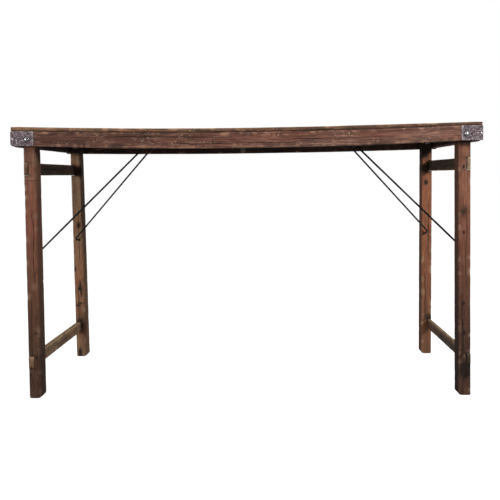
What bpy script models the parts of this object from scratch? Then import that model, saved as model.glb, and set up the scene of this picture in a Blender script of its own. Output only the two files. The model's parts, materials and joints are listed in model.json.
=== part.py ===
"""Old wooden folding table: a plank top on a frame, with two trestles that fold up under it.

Metres, +Z up, +X to the right along the top, -Y to the front. The origin is on the floor, under
the middle of the top. Each trestle turns on two bolts, one at each end of the frame, and four iron
brace rods run from staples under the top to peg holes in the legs.
"""
import math

import bmesh
import bpy
from mathutils import Matrix, Vector

# ---------------------------------------------------------------- driving dimensions, in metres
FRAME_LENGTH = 1.347            # over the two end boards, along X
FRAME_DEPTH = 0.757             # over the two aprons, along Y
TABLE_HEIGHT = 0.795            # floor to the top of the boards at the ends

BOARD_COUNT = 5                 # planks of the top, side by side
BOARD_THICKNESS = 0.012
BOARD_GAP = 0.0008              # crack between two planks
APRON_HEIGHT = 0.046
APRON_EXTRA = {"front": 0.0, "back": 0.0028}    # the back apron is the deeper one
APRON_THICKNESS = 0.028
END_BOARD_THICKNESS = 0.026
BATTEN_WIDTH = 0.045            # cross battens under the planks, along X
BATTEN_THICKNESS = 0.012
CLEAT_WIDTH = 0.017             # pale strip on the inner face of the back apron
CLEAT_THICKNESS = 0.002
CLEAT_X = -0.028

SAG_FRONT = 0.0113              # how far the front edge has sagged at mid length
SAG_BACK = 0.0067
STRAIGHT_PAST_END_BOARD = 0.001 # the top has stayed straight over the end boards, and this far on
SAG_STEPS = 15                  # straight facets between the straight ends, an odd number

STRAP_THICKNESS = 0.0015        # iron straps around the frame's corners
STRAP_EDGE_GAP = 0.0005         # strap's edge to the apron's edge, above and below
STRAP_ARM = {"left": 0.065, "right": 0.060}     # along the apron, from the corner
STRAP_END_ARM = 0.065           # along the end board, from the corner

LEG_WIDTH = 0.036               # along X
LEG_DEPTH = 0.059               # along Y
LEG_SIDE_GAP = 0.003            # between a leg and the apron beside it
LEG_END_GAP = 0.001             # between a leg and the end board beside it
HINGE_DROP = 0.024              # aprons' top edge to the pivot bolts
FOOT_ROUND_INNER = 0.009        # worn corner of a foot, on the side of the table's middle
FOOT_ROUND_OUTER = 0.004
BACK_LEG_LEAN = {"left": 0.0104, "right": 0.0068}   # of a metre for each metre down, inwards

UPPER_STRETCHER_THICKNESS = 0.0125
UPPER_STRETCHER_HEIGHT = 0.0365
UPPER_STRETCHER_DROP = 0.067    # pivot bolts to the upper stretcher's top edge
LOWER_STRETCHER_THICKNESS = {"left": 0.0165, "right": 0.013}
LOWER_STRETCHER_HEIGHT = {"left": 0.034, "right": 0.032}
LOWER_STRETCHER_RISE = {"left": 0.090, "right": 0.091}      # floor to its bottom edge

PIVOT_RADIUS = 0.0040
PIVOT_HEAD_RADIUS = 0.0085
PIVOT_HEAD_HEIGHT = 0.0045
PIVOT_END = 0.0025              # bolt's end past its nut
NUT_WIDTH = 0.017
NUT_THICKNESS = 0.006
WASHER_RADIUS = 0.012
NAIL_RADIUS = 0.0016
NAIL_HEAD_RADIUS = 0.0038
NAIL_HEAD_HEIGHT = 0.0016
NAIL_BITE = 0.016               # nail's length in the wood that it holds to
STRAP_NAIL_FROM_CORNER = 0.0055

ROD_RADIUS = 0.0030
ROD_BEND_RADIUS = 0.006
ROD_PEG = 0.011                 # peg at the rod's foot, along Y
ROD_HOOK = 0.012                # the foot's hook reaches past the peg hole and comes back this far
ROD_HOOK_DROP = {"left": 0.005, "right": 0.010}     # hook's bend down to the peg
ROD_PIVOT_LENGTH = 0.026        # bent top of the rod, along Y
ROD_PIVOT_Y = 0.0800            # middle line of the table to the rod's top bend
ROD_PIVOT_X = {"left": 0.313, "right": 0.3215}      # middle of the table to the staples
ROD_PIVOT_DROP = 0.025          # aprons' top edge to the rods' pivots
ROD_HOLE_HEIGHT = {             # floor to the peg holes in the legs
    "front": {"left": 0.4115, "right": 0.4220},
    "back": {"left": 0.4225, "right": 0.4320},
}
ROD_HOLE_INWARD = {"left": 0.005, "right": 0.011}   # leg's middle line to its peg hole
PEG_HOLE_DEPTH = 0.020
PEG_END_GAP = 0.0006            # peg's tip to the leg, so that either can swing by itself
STAPLE_WIRE_RADIUS = 0.0015

JOINT_GAP = 0.0003              # between two pieces that touch
RUNNING_GAP = 0.00035           # around a pivot, a rod in its staple and a shank in its hole
ROUND_STEPS = 16                # sides of a bolt, a washer and a hole
BEND_STEPS = 8                  # straight pieces in a staple's bend
CUT_PAST = 0.010                # how far a cutter runs past the face that it opens

# ---------------------------------------------------------------- sizes that follow from them
HALF_LENGTH = FRAME_LENGTH / 2
HALF_DEPTH = FRAME_DEPTH / 2
APRON_TOP = TABLE_HEIGHT - BOARD_THICKNESS
APRON_BOTTOM = APRON_TOP - APRON_HEIGHT
HINGE_X = HALF_LENGTH - END_BOARD_THICKNESS - LEG_END_GAP - LEG_WIDTH / 2
HINGE_Z = APRON_TOP - HINGE_DROP
ROD_PIVOT_Z = APRON_TOP - ROD_PIVOT_DROP
APRON_INNER_Y = HALF_DEPTH - APRON_THICKNESS
LEG_OUTER_Y = APRON_INNER_Y - LEG_SIDE_GAP
LEG_INNER_Y = LEG_OUTER_Y - LEG_DEPTH
LEG_MIDDLE_Y = (LEG_OUTER_Y + LEG_INNER_Y) / 2
SAG_REACH = HALF_LENGTH - END_BOARD_THICKNESS - STRAIGHT_PAST_END_BOARD
SAG_STEP = 2 * SAG_REACH / SAG_STEPS
SIDES = {"left": -1, "right": 1}
FACES = {"front": -1, "back": 1}


# ---------------------------------------------------------------- scene, materials, collections
for old in list(bpy.data.objects):
    bpy.data.objects.remove(old, do_unlink=True)


def new_collection(name):
    collection = bpy.data.collections.new(name)
    bpy.context.scene.collection.children.link(collection)
    return collection


PARTS = new_collection("folding_table")
CUTTERS = new_collection("cutters")


def material(name, colour, roughness, metallic=0.0):
    made = bpy.data.materials.new(name)
    made.use_nodes = True
    shader = made.node_tree.nodes["Principled BSDF"]
    shader.inputs["Base Color"].default_value = (*colour, 1.0)
    shader.inputs["Roughness"].default_value = roughness
    shader.inputs["Metallic"].default_value = metallic
    return made


TOP_WOOD = material("worn_brown_planks", (0.16, 0.085, 0.048), 0.70)
FRAME_WOOD = material("dark_purple_brown_wood", (0.085, 0.045, 0.036), 0.65)
LEG_WOOD = material("dark_red_brown_wood", (0.125, 0.062, 0.040), 0.65)
PALE_WOOD = material("pale_dusty_wood", (0.29, 0.24, 0.19), 0.80)
STRAP_IRON = material("rusty_grey_iron", (0.115, 0.095, 0.10), 0.60, 0.6)
BOLT_IRON = material("rubbed_iron", (0.33, 0.31, 0.31), 0.45, 0.9)
ROD_IRON = material("black_iron", (0.018, 0.015, 0.014), 0.50, 0.7)


# ---------------------------------------------------------------- making and cutting pieces
def add_object(name, data, place, finish=None, parent=None, collection=PARTS):
    """Puts data into the collection as an object whose origin is at the world point place."""
    piece = bpy.data.objects.new(name, data)
    collection.objects.link(piece)
    if finish:
        piece.data.materials.append(finish)
    piece.location = Vector(place) - (parent.location if parent else Vector())
    piece.parent = parent
    return piece


def axis_empty(name, place):
    """An empty on a joint's axis, which carries the pieces that turn about it."""
    empty = bpy.data.objects.new(name, None)
    empty.empty_display_size = 0.05
    empty.location = place
    PARTS.objects.link(empty)
    return empty


def box(name, low, high, finish, parent=None, stations=()):
    """A box between two corners, with a ring of edges at each X in stations."""
    low, high = Vector(low), Vector(high)
    middle = (low + high) / 2
    shape = bmesh.new()
    bmesh.ops.create_cube(shape, size=1.0, matrix=Matrix.Diagonal((*(high - low), 1.0)))
    for x in stations:
        everything = shape.verts[:] + shape.edges[:] + shape.faces[:]
        bmesh.ops.bisect_plane(shape, geom=everything, plane_co=(x - middle.x, 0, 0),
                               plane_no=(1, 0, 0))
    mesh = bpy.data.meshes.new(name)
    shape.to_mesh(mesh)
    shape.free()
    return add_object(name, mesh, middle, finish, parent)


def turned(name, profile, place, direction, finish, parent=None, closed=False):
    """A profile of (radius, height) points turned about a line that runs along direction."""
    points = [(radius, 0.0, height) for radius, height in profile]
    edges = [(i, i + 1) for i in range(len(points) - 1)]
    if closed:
        edges.append((len(points) - 1, 0))
    mesh = bpy.data.meshes.new(name)
    mesh.from_pydata(points, edges, [])
    piece = add_object(name, mesh, place, finish, parent)
    piece.rotation_mode = "QUATERNION"
    piece.rotation_quaternion = Vector(direction).to_track_quat("Z", "X")
    screw = piece.modifiers.new("turn", "SCREW")
    screw.axis = "Z"
    screw.steps = screw.render_steps = ROUND_STEPS
    screw.use_merge_vertices = True
    screw.merge_threshold = 0.00001
    screw.use_smooth_shade = False
    return piece


def outline_solid(name, outline, thickness, place, tilt, finish, parent=None):
    """A flat outline with a thickness, as a mesh: a filled curve whose caps are welded on."""
    curve = bpy.data.curves.new(name, "CURVE")
    curve.dimensions = "2D"
    curve.fill_mode = "BOTH"
    curve.extrude = thickness / 2
    spline = curve.splines.new("POLY")
    spline.points.add(len(outline) - 1)
    for point, (x, y) in zip(spline.points, outline):
        point.co = (x, y, 0.0, 1.0)
    spline.use_cyclic_u = True
    guide = bpy.data.objects.new(name + "_curve", curve)
    CUTTERS.objects.link(guide)
    bpy.context.view_layer.update()
    evaluated = guide.evaluated_get(bpy.context.evaluated_depsgraph_get())
    mesh = bpy.data.meshes.new_from_object(evaluated)
    bpy.data.objects.remove(guide)
    shape = bmesh.new()
    shape.from_mesh(mesh)
    bmesh.ops.remove_doubles(shape, verts=shape.verts, dist=0.00001)
    bmesh.ops.recalc_face_normals(shape, faces=shape.faces)
    bmesh.ops.rotate(shape, verts=shape.verts, cent=(0, 0, 0), matrix=tilt)
    shape.to_mesh(mesh)
    shape.free()
    mesh.name = name
    mesh.materials.clear()
    return add_object(name, mesh, place, finish, parent)


def wire(name, points, radius, place, finish, parent=None):
    """A round bar along points, which are measured from place."""
    curve = bpy.data.curves.new(name, "CURVE")
    curve.dimensions = "3D"
    curve.bevel_depth = radius
    curve.bevel_resolution = 1
    curve.use_fill_caps = True
    spline = curve.splines.new("POLY")
    spline.points.add(len(points) - 1)
    for point, co in zip(spline.points, points):
        point.co = (*co, 1.0)
    return add_object(name, curve, place, finish, parent)


def cut(piece, cutter):
    """Takes the cutter's shape out of the piece."""
    boolean = piece.modifiers.new("cut_" + cutter.name, "BOOLEAN")
    boolean.operation = "DIFFERENCE"
    boolean.solver = "EXACT"
    boolean.object = cutter


def as_cutter(cutter):
    cutter.hide_render = True
    cutter.display_type = "WIRE"
    return cutter


def round_cutter(name, start, end, radius):
    """A cylinder from start to end whose flats clear the given radius."""
    start, end = Vector(start), Vector(end)
    shape = bmesh.new()
    corner_radius = radius / math.cos(math.pi / ROUND_STEPS)
    bmesh.ops.create_cone(shape, cap_ends=True, segments=ROUND_STEPS, radius1=corner_radius,
                          radius2=corner_radius, depth=(end - start).length)
    turn = (end - start).to_track_quat("Z", "X").to_matrix()
    bmesh.ops.rotate(shape, verts=shape.verts, cent=(0, 0, 0), matrix=turn)
    mesh = bpy.data.meshes.new(name)
    shape.to_mesh(mesh)
    shape.free()
    return as_cutter(add_object(name, mesh, (start + end) / 2, collection=CUTTERS))


def box_cutter(name, low, high):
    cutter = box(name, low, high, None)
    PARTS.objects.unlink(cutter)
    CUTTERS.objects.link(cutter)
    return as_cutter(cutter)


def arc(centre, radius, start_degrees, end_degrees, steps):
    """Points on a round stretch of an outline."""
    angles = [math.radians(start_degrees + (end_degrees - start_degrees) * i / steps)
              for i in range(steps + 1)]
    return [(centre[0] + radius * math.cos(a), centre[1] + radius * math.sin(a)) for a in angles]


def rounded_path(corners, radius, steps=3):
    """A path through corners, each inner one rounded off over radius along both its legs."""
    corners = [Vector(c) for c in corners]
    path = [corners[0]]
    for before, corner, after in zip(corners, corners[1:], corners[2:]):
        first = corner + (before - corner).normalized() * radius
        last = corner + (after - corner).normalized() * radius
        for i in range(steps + 1):
            t = i / steps
            path.append(first * (1 - t) ** 2 + corner * 2 * t * (1 - t) + last * t ** 2)
    path.append(corners[-1])
    return path


# ---------------------------------------------------------------- the sag and the lean
def sag(x, y):
    """Drop of the top at (x, y): straight facets on a parabola along X, deeper at the front."""
    share = (y + HALF_DEPTH) / FRAME_DEPTH
    depth = SAG_FRONT * (1 - share) + SAG_BACK * share
    steps_in = (x + SAG_REACH) / SAG_STEP
    first = min(max(math.floor(steps_in), 0), SAG_STEPS - 1)
    along = min(max(steps_in - first, 0.0), 1.0)
    heights = [1 - ((i * SAG_STEP - SAG_REACH) / SAG_REACH) ** 2 for i in (first, first + 1)]
    return depth * (heights[0] * (1 - along) + heights[1] * along)


def sagging_box(name, low, high, finish):
    """A box of the top, with edges where the sag's facets meet, whose points drop with the sag."""
    bends = [i * SAG_STEP - SAG_REACH for i in range(SAG_STEPS + 1)]
    inside = [x for x in bends if low[0] + JOINT_GAP < x < high[0] - JOINT_GAP]
    piece = box(name, low, high, finish, stations=inside)
    for vertex in piece.data.vertices:
        vertex.co.z -= sag(vertex.co.x + piece.location.x, vertex.co.y + piece.location.y)
    return piece


def lean(side, y, z):
    """How far a trestle's point at (y, z) has leaned in X: nothing in front, most at the back."""
    share = (y + LEG_MIDDLE_Y) / (2 * LEG_MIDDLE_Y)
    return -SIDES[side] * BACK_LEG_LEAN[side] * share * (HINGE_Z - z)


def apply_lean(piece, side):
    """Fixes the piece's cuts in its mesh, then moves each point with the trestle's lean."""
    bpy.context.view_layer.update()
    evaluated = piece.evaluated_get(bpy.context.evaluated_depsgraph_get())
    mesh = bpy.data.meshes.new_from_object(evaluated)
    piece.modifiers.clear()
    piece.data = mesh
    to_world = piece.matrix_world.copy()
    to_piece = to_world.inverted()
    for vertex in mesh.vertices:
        point = to_world @ vertex.co
        point.x += lean(side, point.y, point.z)
        vertex.co = to_piece @ point


# ---------------------------------------------------------------- the top
def make_boards():
    width = (FRAME_DEPTH - BOARD_GAP * (BOARD_COUNT - 1)) / BOARD_COUNT
    for i in range(BOARD_COUNT):
        low_y = -HALF_DEPTH + i * (width + BOARD_GAP)
        sagging_box(f"top_board_{i + 1}", (-HALF_LENGTH, low_y, APRON_TOP + JOINT_GAP),
                    (HALF_LENGTH, low_y + width, TABLE_HEIGHT), TOP_WOOD)


def make_aprons():
    aprons = {}
    for face, sign in FACES.items():
        low_y, high_y = sorted((sign * APRON_INNER_Y, sign * HALF_DEPTH))
        bottom = APRON_BOTTOM - APRON_EXTRA[face]
        aprons[face] = sagging_box(f"apron_{face}", (-HALF_LENGTH, low_y, bottom),
                                   (HALF_LENGTH, high_y, APRON_TOP), FRAME_WOOD)
    return aprons


def make_end_boards():
    end_boards = {}
    reach_y = APRON_INNER_Y - JOINT_GAP
    for side, sign in SIDES.items():
        low_x, high_x = sorted((sign * HALF_LENGTH, sign * (HALF_LENGTH - END_BOARD_THICKNESS)))
        end_boards[side] = box(f"end_board_{side}", (low_x, -reach_y, APRON_BOTTOM),
                               (high_x, reach_y, APRON_TOP), FRAME_WOOD)
    return end_boards


def make_battens():
    """Cross battens that carry the staples; they stop short of the folded legs."""
    reach_y = LEG_INNER_Y - LEG_SIDE_GAP
    top = APRON_TOP - JOINT_GAP
    for side, sign in SIDES.items():
        middle = sign * ROD_PIVOT_X[side]
        sagging_box(f"under_batten_{side}",
                    (middle - BATTEN_WIDTH / 2, -reach_y, top - BATTEN_THICKNESS),
                    (middle + BATTEN_WIDTH / 2, reach_y, top), FRAME_WOOD)


def make_cleat():
    high_y = APRON_INNER_Y - JOINT_GAP
    sagging_box("centre_cleat",
                (CLEAT_X - CLEAT_WIDTH / 2, high_y - CLEAT_THICKNESS,
                 APRON_BOTTOM - APRON_EXTRA["back"]),
                (CLEAT_X + CLEAT_WIDTH / 2, high_y, APRON_TOP - JOINT_GAP), PALE_WOOD)


# ---------------------------------------------------------------- iron of the top
def make_strap(face, side):
    """An L of flat iron around one corner, drawn from above in the quarter where both are +."""
    inner_x = HALF_LENGTH + JOINT_GAP
    inner_y = HALF_DEPTH + JOINT_GAP
    outer_x = inner_x + STRAP_THICKNESS
    outer_y = inner_y + STRAP_THICKNESS
    arm_x = HALF_LENGTH - STRAP_ARM[side]
    arm_y = HALF_DEPTH - STRAP_END_ARM
    corner = [(arm_x, inner_y), (inner_x, inner_y), (inner_x, arm_y),
              (outer_x, arm_y), (outer_x, outer_y), (arm_x, outer_y)]
    outline = [(SIDES[side] * x, FACES[face] * y) for x, y in corner]
    middle_z = (APRON_BOTTOM + APRON_TOP) / 2
    return outline_solid(f"corner_strap_{face}_{side}", outline, APRON_HEIGHT - 2 * STRAP_EDGE_GAP,
                         (0, 0, middle_z), Matrix.Identity(3), STRAP_IRON)


def dome(radius, height, base):
    """Profile of a domed head from its crown down to its rim, where it meets the shank."""
    sphere = (radius ** 2 + height ** 2) / (2 * height)
    crown = [(radius * i / 4) for i in range(5)]
    return [(r, base + math.sqrt(sphere ** 2 - r ** 2) - (sphere - height)) for r in crown]


def headed_pin(name, head_radius, head_height, shank_radius, shank_length, seat, direction,
               finish, parent=None):
    """A domed head on a round shank; seat is where the head's underside meets the work."""
    profile = dome(head_radius, head_height, 0.0)
    profile += [(shank_radius, 0.0), (shank_radius, -shank_length), (0.0, -shank_length)]
    return turned(name, profile, seat, direction, finish, parent)


def make_pivot(face, side, apron, strap, leg):
    """The bolt that a leg turns on, its square nut, and the washer between leg and apron."""
    out = Vector((0, FACES[face], 0))
    centre = Vector((SIDES[side] * HINGE_X, 0, HINGE_Z))
    strap_face = HALF_DEPTH + JOINT_GAP + STRAP_THICKNESS
    seat = strap_face + JOINT_GAP
    nut_outer = LEG_INNER_Y - RUNNING_GAP
    nut_inner = nut_outer - NUT_THICKNESS
    length = seat - nut_inner + PIVOT_END
    bore_radius = PIVOT_RADIUS + RUNNING_GAP
    headed_pin(f"pivot_bolt_{face}_{side}", PIVOT_HEAD_RADIUS, PIVOT_HEAD_HEIGHT, PIVOT_RADIUS,
               length, centre + out * seat, out, BOLT_IRON)
    bore = round_cutter(f"pivot_bore_{face}_{side}", centre + out * (nut_inner - CUT_PAST),
                        centre + out * (strap_face + CUT_PAST), bore_radius)
    half = NUT_WIDTH / 2
    ends = sorted((FACES[face] * nut_inner, FACES[face] * nut_outer))
    nut = box(f"pivot_nut_{face}_{side}", (centre.x - half, ends[0], HINGE_Z - half),
              (centre.x + half, ends[1], HINGE_Z + half), STRAP_IRON)
    for piece in (apron, strap, leg, nut):
        cut(piece, bore)
    half_washer = (LEG_SIDE_GAP - 2 * RUNNING_GAP) / 2
    ring = [(WASHER_RADIUS, half_washer), (WASHER_RADIUS, -half_washer),
            (bore_radius, -half_washer), (bore_radius, half_washer)]
    middle_gap = (APRON_INNER_Y + LEG_OUTER_Y) / 2
    turned(f"pivot_washer_{face}_{side}", ring, centre + out * middle_gap, out, STRAP_IRON,
           closed=True)


def make_nail(name, seat, direction, pieces, plate_thickness, parent=None):
    """A nail through a plate, or a let-in board, into the wood behind it, with its hole."""
    direction = Vector(direction)
    length = plate_thickness + NAIL_BITE
    nail = headed_pin(name, NAIL_HEAD_RADIUS, NAIL_HEAD_HEIGHT, NAIL_RADIUS, length,
                      Vector(seat) + direction * JOINT_GAP, direction, BOLT_IRON, parent)
    hole = round_cutter(name + "_hole", Vector(seat) + direction * CUT_PAST,
                        Vector(seat) - direction * (length + JOINT_GAP),
                        NAIL_RADIUS + RUNNING_GAP)
    for piece in pieces:
        cut(piece, hole)
    return nail


def make_strap_nails(face, side, strap, apron, end_board):
    """One nail in each arm of a strap."""
    x_sign, y_sign = SIDES[side], FACES[face]
    skin = JOINT_GAP + STRAP_THICKNESS
    middle_z = (APRON_BOTTOM + APRON_TOP) / 2
    make_nail(f"strap_nail_{face}_{side}_side",
              (x_sign * (HALF_LENGTH - STRAP_NAIL_FROM_CORNER), y_sign * (HALF_DEPTH + skin),
               middle_z), (0, y_sign, 0), (strap, apron), skin)
    arm_y = HALF_DEPTH - STRAP_END_ARM + STRAP_NAIL_FROM_CORNER
    make_nail(f"strap_nail_{face}_{side}_end",
              (x_sign * (HALF_LENGTH + skin), y_sign * arm_y, middle_z),
              (x_sign, 0, 0), (strap, end_board), skin)


def make_staple(face, side):
    """A U of wire under the batten, around the bent top of a brace rod."""
    centre = rod_pivot(face, side)
    centre.y -= FACES[face] * ROD_PIVOT_LENGTH / 2
    radius = ROD_RADIUS + RUNNING_GAP + STAPLE_WIRE_RADIUS
    batten_edge = APRON_TOP - JOINT_GAP - BATTEN_THICKNESS - 2 * JOINT_GAP
    prongs = [batten_edge - sag(centre.x + dx, centre.y) - centre.z for dx in (-radius, radius)]
    bend = [(x, 0.0, z) for x, z in arc((0.0, 0.0), radius, 180, 360, BEND_STEPS)]
    points = [(-radius, 0.0, prongs[0]), *bend, (radius, 0.0, prongs[1])]
    wire(f"rod_staple_{face}_{side}", points, STAPLE_WIRE_RADIUS, centre, STRAP_IRON)


# ---------------------------------------------------------------- trestles
def leg_outline(side):
    """A leg from its side, round at the top about the pivot; x is towards +X, y is up."""
    half = LEG_WIDTH / 2
    inward = -SIDES[side]
    foot = -HINGE_Z
    top = arc((0, 0), half, 0, 180, 12)
    outer = arc((-half + FOOT_ROUND_OUTER, foot + FOOT_ROUND_OUTER), FOOT_ROUND_OUTER, 180, 270, 2)
    inner = arc((half - FOOT_ROUND_INNER, foot + FOOT_ROUND_INNER), FOOT_ROUND_INNER, 270, 360, 4)
    return [(inward * x, y) for x, y in top + outer + inner]


def stretcher_span(side, thickness, low_z, high_z):
    """Low and high corners of a stretcher let into the legs' outer faces."""
    outer = SIDES[side] * (HINGE_X + LEG_WIDTH / 2)
    low_x, high_x = sorted((outer, outer - SIDES[side] * thickness))
    return Vector((low_x, -LEG_OUTER_Y, low_z)), Vector((high_x, LEG_OUTER_Y, high_z))


def make_trestle(side):
    """Two legs and two stretchers, which turn together about the pivot bolts."""
    axis = axis_empty(f"trestle_{side}_axis", (SIDES[side] * HINGE_X, 0, HINGE_Z))
    legs = {}
    for face, sign in FACES.items():
        legs[face] = outline_solid(f"leg_{face}_{side}", leg_outline(side), LEG_DEPTH,
                                   (axis.location.x, sign * LEG_MIDDLE_Y, HINGE_Z),
                                   Matrix.Rotation(math.pi / 2, 3, "X"), LEG_WOOD, axis)
    upper_top = HINGE_Z - UPPER_STRETCHER_DROP
    lower_bottom = LOWER_STRETCHER_RISE[side]
    spans = {
        "upper": stretcher_span(side, UPPER_STRETCHER_THICKNESS,
                                upper_top - UPPER_STRETCHER_HEIGHT, upper_top),
        "lower": stretcher_span(side, LOWER_STRETCHER_THICKNESS[side], lower_bottom,
                                lower_bottom + LOWER_STRETCHER_HEIGHT[side]),
    }
    room = Vector((JOINT_GAP, CUT_PAST, JOINT_GAP))
    pieces = list(legs.values())
    for level, (low, high) in spans.items():
        stretcher = box(f"{level}_stretcher_{side}", low, high, LEG_WOOD, axis)
        outward = Vector((SIDES[side] * CUT_PAST, 0, 0))
        notch_low = Vector(map(min, low - room, low - room + outward))
        notch_high = Vector(map(max, high + room, high + room + outward))
        notch = box_cutter(f"{level}_notch_{side}", notch_low, notch_high)
        for leg in legs.values():
            cut(leg, notch)
        outer_x = low.x if SIDES[side] < 0 else high.x
        for face, sign in FACES.items():
            seat = (outer_x, sign * LEG_MIDDLE_Y, (low.z + high.z) / 2)
            nail = make_nail(f"stretcher_nail_{level}_{face}_{side}", seat, (SIDES[side], 0, 0),
                             (stretcher, legs[face]), high.x - low.x, axis)
            pieces.append(nail)
        pieces.append(stretcher)
    for face, sign in FACES.items():
        hole_x = axis.location.x - SIDES[side] * ROD_HOLE_INWARD[side]
        mouth = Vector((hole_x, sign * LEG_INNER_Y, ROD_HOLE_HEIGHT[face][side]))
        into = Vector((0, sign, 0))
        cut(legs[face], round_cutter(f"peg_hole_{face}_{side}", mouth - into * CUT_PAST,
                                     mouth + into * PEG_HOLE_DEPTH, ROD_RADIUS + RUNNING_GAP))
    return legs, pieces


# ---------------------------------------------------------------- brace rods
def rod_pivot(face, side):
    """The rod's top bend, on the line along Y that the rod swings about."""
    return Vector((SIDES[side] * ROD_PIVOT_X[side], FACES[face] * ROD_PIVOT_Y, ROD_PIVOT_Z))


def make_brace_rod(face, side):
    """A round bar from its staple down to a hook, whose peg faces the hole in the leg."""
    pivot = rod_pivot(face, side)
    out = FACES[face]
    hole_z = ROD_HOLE_HEIGHT[face][side]
    hole_y = out * LEG_INNER_Y
    hole_x = SIDES[side] * (HINGE_X - ROD_HOLE_INWARD[side]) + lean(side, hole_y, hole_z)
    tip = Vector((hole_x, hole_y - out * PEG_END_GAP, hole_z))
    elbow = tip - Vector((0, out * ROD_PEG, 0))
    hook = elbow + Vector((SIDES[side] * ROD_HOOK, 0, ROD_HOOK_DROP[side]))
    corners = [pivot - Vector((0, out * ROD_PIVOT_LENGTH, 0)), pivot, hook, elbow, tip]
    axis = axis_empty(f"brace_rod_{face}_{side}_axis", pivot)
    points = [corner - pivot for corner in rounded_path(corners, ROD_BEND_RADIUS)]
    wire(f"brace_rod_{face}_{side}", points, ROD_RADIUS, pivot, ROD_IRON, axis)


# ---------------------------------------------------------------- the whole table
def make_table():
    make_boards()
    aprons = make_aprons()
    end_boards = make_end_boards()
    make_battens()
    make_cleat()
    for side in SIDES:
        legs, pieces = make_trestle(side)
        for face in FACES:
            strap = make_strap(face, side)
            make_pivot(face, side, aprons[face], strap, legs[face])
            make_strap_nails(face, side, strap, aprons[face], end_boards[side])
            make_staple(face, side)
            make_brace_rod(face, side)
        for piece in pieces:
            apply_lean(piece, side)


make_table()
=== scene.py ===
"""Looks of the old folding table: weathered timber, hand-forged iron and black brace rods.

Metres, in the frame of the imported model: +X along the top, -Y to the front, the floor at z = 0.
Each piece is a section carried along a line, computed as whole arrays, and stands for one node.
The planks' nail heads are one more piece.
"""
import json
import math

import bmesh
import bpy
import numpy as np
from mathutils import Matrix, Vector


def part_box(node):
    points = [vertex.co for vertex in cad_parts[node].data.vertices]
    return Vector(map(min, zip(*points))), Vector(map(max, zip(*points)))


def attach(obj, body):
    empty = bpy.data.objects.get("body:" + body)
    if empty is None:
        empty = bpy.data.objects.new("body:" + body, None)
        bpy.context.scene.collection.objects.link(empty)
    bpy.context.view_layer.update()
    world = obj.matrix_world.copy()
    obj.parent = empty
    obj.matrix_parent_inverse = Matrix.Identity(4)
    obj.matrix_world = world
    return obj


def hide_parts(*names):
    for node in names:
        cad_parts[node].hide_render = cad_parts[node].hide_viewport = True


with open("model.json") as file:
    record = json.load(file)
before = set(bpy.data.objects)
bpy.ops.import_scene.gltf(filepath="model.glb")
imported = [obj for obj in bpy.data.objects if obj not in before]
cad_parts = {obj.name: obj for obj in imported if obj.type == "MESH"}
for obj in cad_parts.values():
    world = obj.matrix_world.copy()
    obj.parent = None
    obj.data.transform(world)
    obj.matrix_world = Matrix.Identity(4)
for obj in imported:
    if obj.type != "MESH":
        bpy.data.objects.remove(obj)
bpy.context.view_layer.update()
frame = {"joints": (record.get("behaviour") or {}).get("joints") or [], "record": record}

# ---------------------------------------------------------------- sizes, in metres
SIDES = {"left": -1, "right": 1}
FACES = {"front": -1, "back": 1}
BODY_OF = {node: body for body, nodes in frame["record"]["behaviour"]["bodies"].items()
           for node in nodes}
JOINTS = {joint["name"]: joint for joint in frame["joints"]}

SAG_FRONT = 0.0113          # sag of the top at mid length, at its front edge and at its back edge
SAG_BACK = 0.0067
SAG_REACH = 0.6465          # middle of the table to where the sag starts
HALF_LENGTH = 0.6735
HALF_DEPTH = 0.3785
APRON_BOTTOM = 0.737
APRON_EXTRA = {"front": 0.0, "back": 0.0028}
APRON_TOP = 0.783
BOARD_TOP = 0.795
BOARD_THICKNESS = 0.0117
BATTEN_THICKNESS = 0.012
UNDER_GAP = 0.0003          # from the apron's top down to the battens' and the cleat's tops
LEG_HALF_WIDTH = 0.018
LEG_HALF_DEPTH = 0.0295
LEG_MIDDLE_Y = 0.318
BACK_LEG_LEAN = {"left": 0.0104, "right": 0.0068}
HINGE_X = JOINTS["trestle_right_fold"]["pos_m"][0]
HINGE_Z = JOINTS["trestle_right_fold"]["pos_m"][2]
NOTCH_GAP = 0.0003          # round a stretcher that is let into a leg
NOTCH_STEP = 0.0002         # length over which a notch's ends drop to its depth
FOOT_ROUND_INNER = 0.009
FOOT_ROUND_OUTER = 0.004
STRETCHER_THICKNESS = {"upper": {"left": 0.0125, "right": 0.0125},
                       "lower": {"left": 0.0165, "right": 0.013}}
STRAP_THICKNESS = 0.0015
STRAP_GAP = 0.0003
PIVOT_RADIUS = 0.0040
PEG_HOLE_DEPTH = 0.020
ROD_RADIUS = 0.0030
ROD_PEG = 0.011
ROD_HOOK = 0.012
ROD_HOOK_DROP = {"left": 0.005, "right": 0.010}
ROD_HOLE_HEIGHT = {
    "front": {"left": 0.4115, "right": 0.4220},
    "back": {"left": 0.4225, "right": 0.4320},
}
ROD_HOLE_INWARD = {"left": 0.005, "right": 0.011}
ROD_PIVOT_LENGTH = 0.026
ROD_BEND_RADIUS = 0.006
RUNNING_GAP = 0.00035
PEG_END_GAP = 0.0006
HOLE_LEAD = 0.01            # from a drill's start to the face that it enters
BOLT_HEAD_HEIGHT = 0.0045
NAIL_HEAD_HEIGHT = 0.0016
NAIL_RADIUS = 0.0016
PIN_TIP = 0.0008            # length of a pin's narrowed end
BOARD_NAIL_SEAT = 0.0016    # from a plank's top down to the seat of its nails' heads
BOARD_NAIL_ROWS = (-0.660, -0.313, 0.3215, 0.660)


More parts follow.
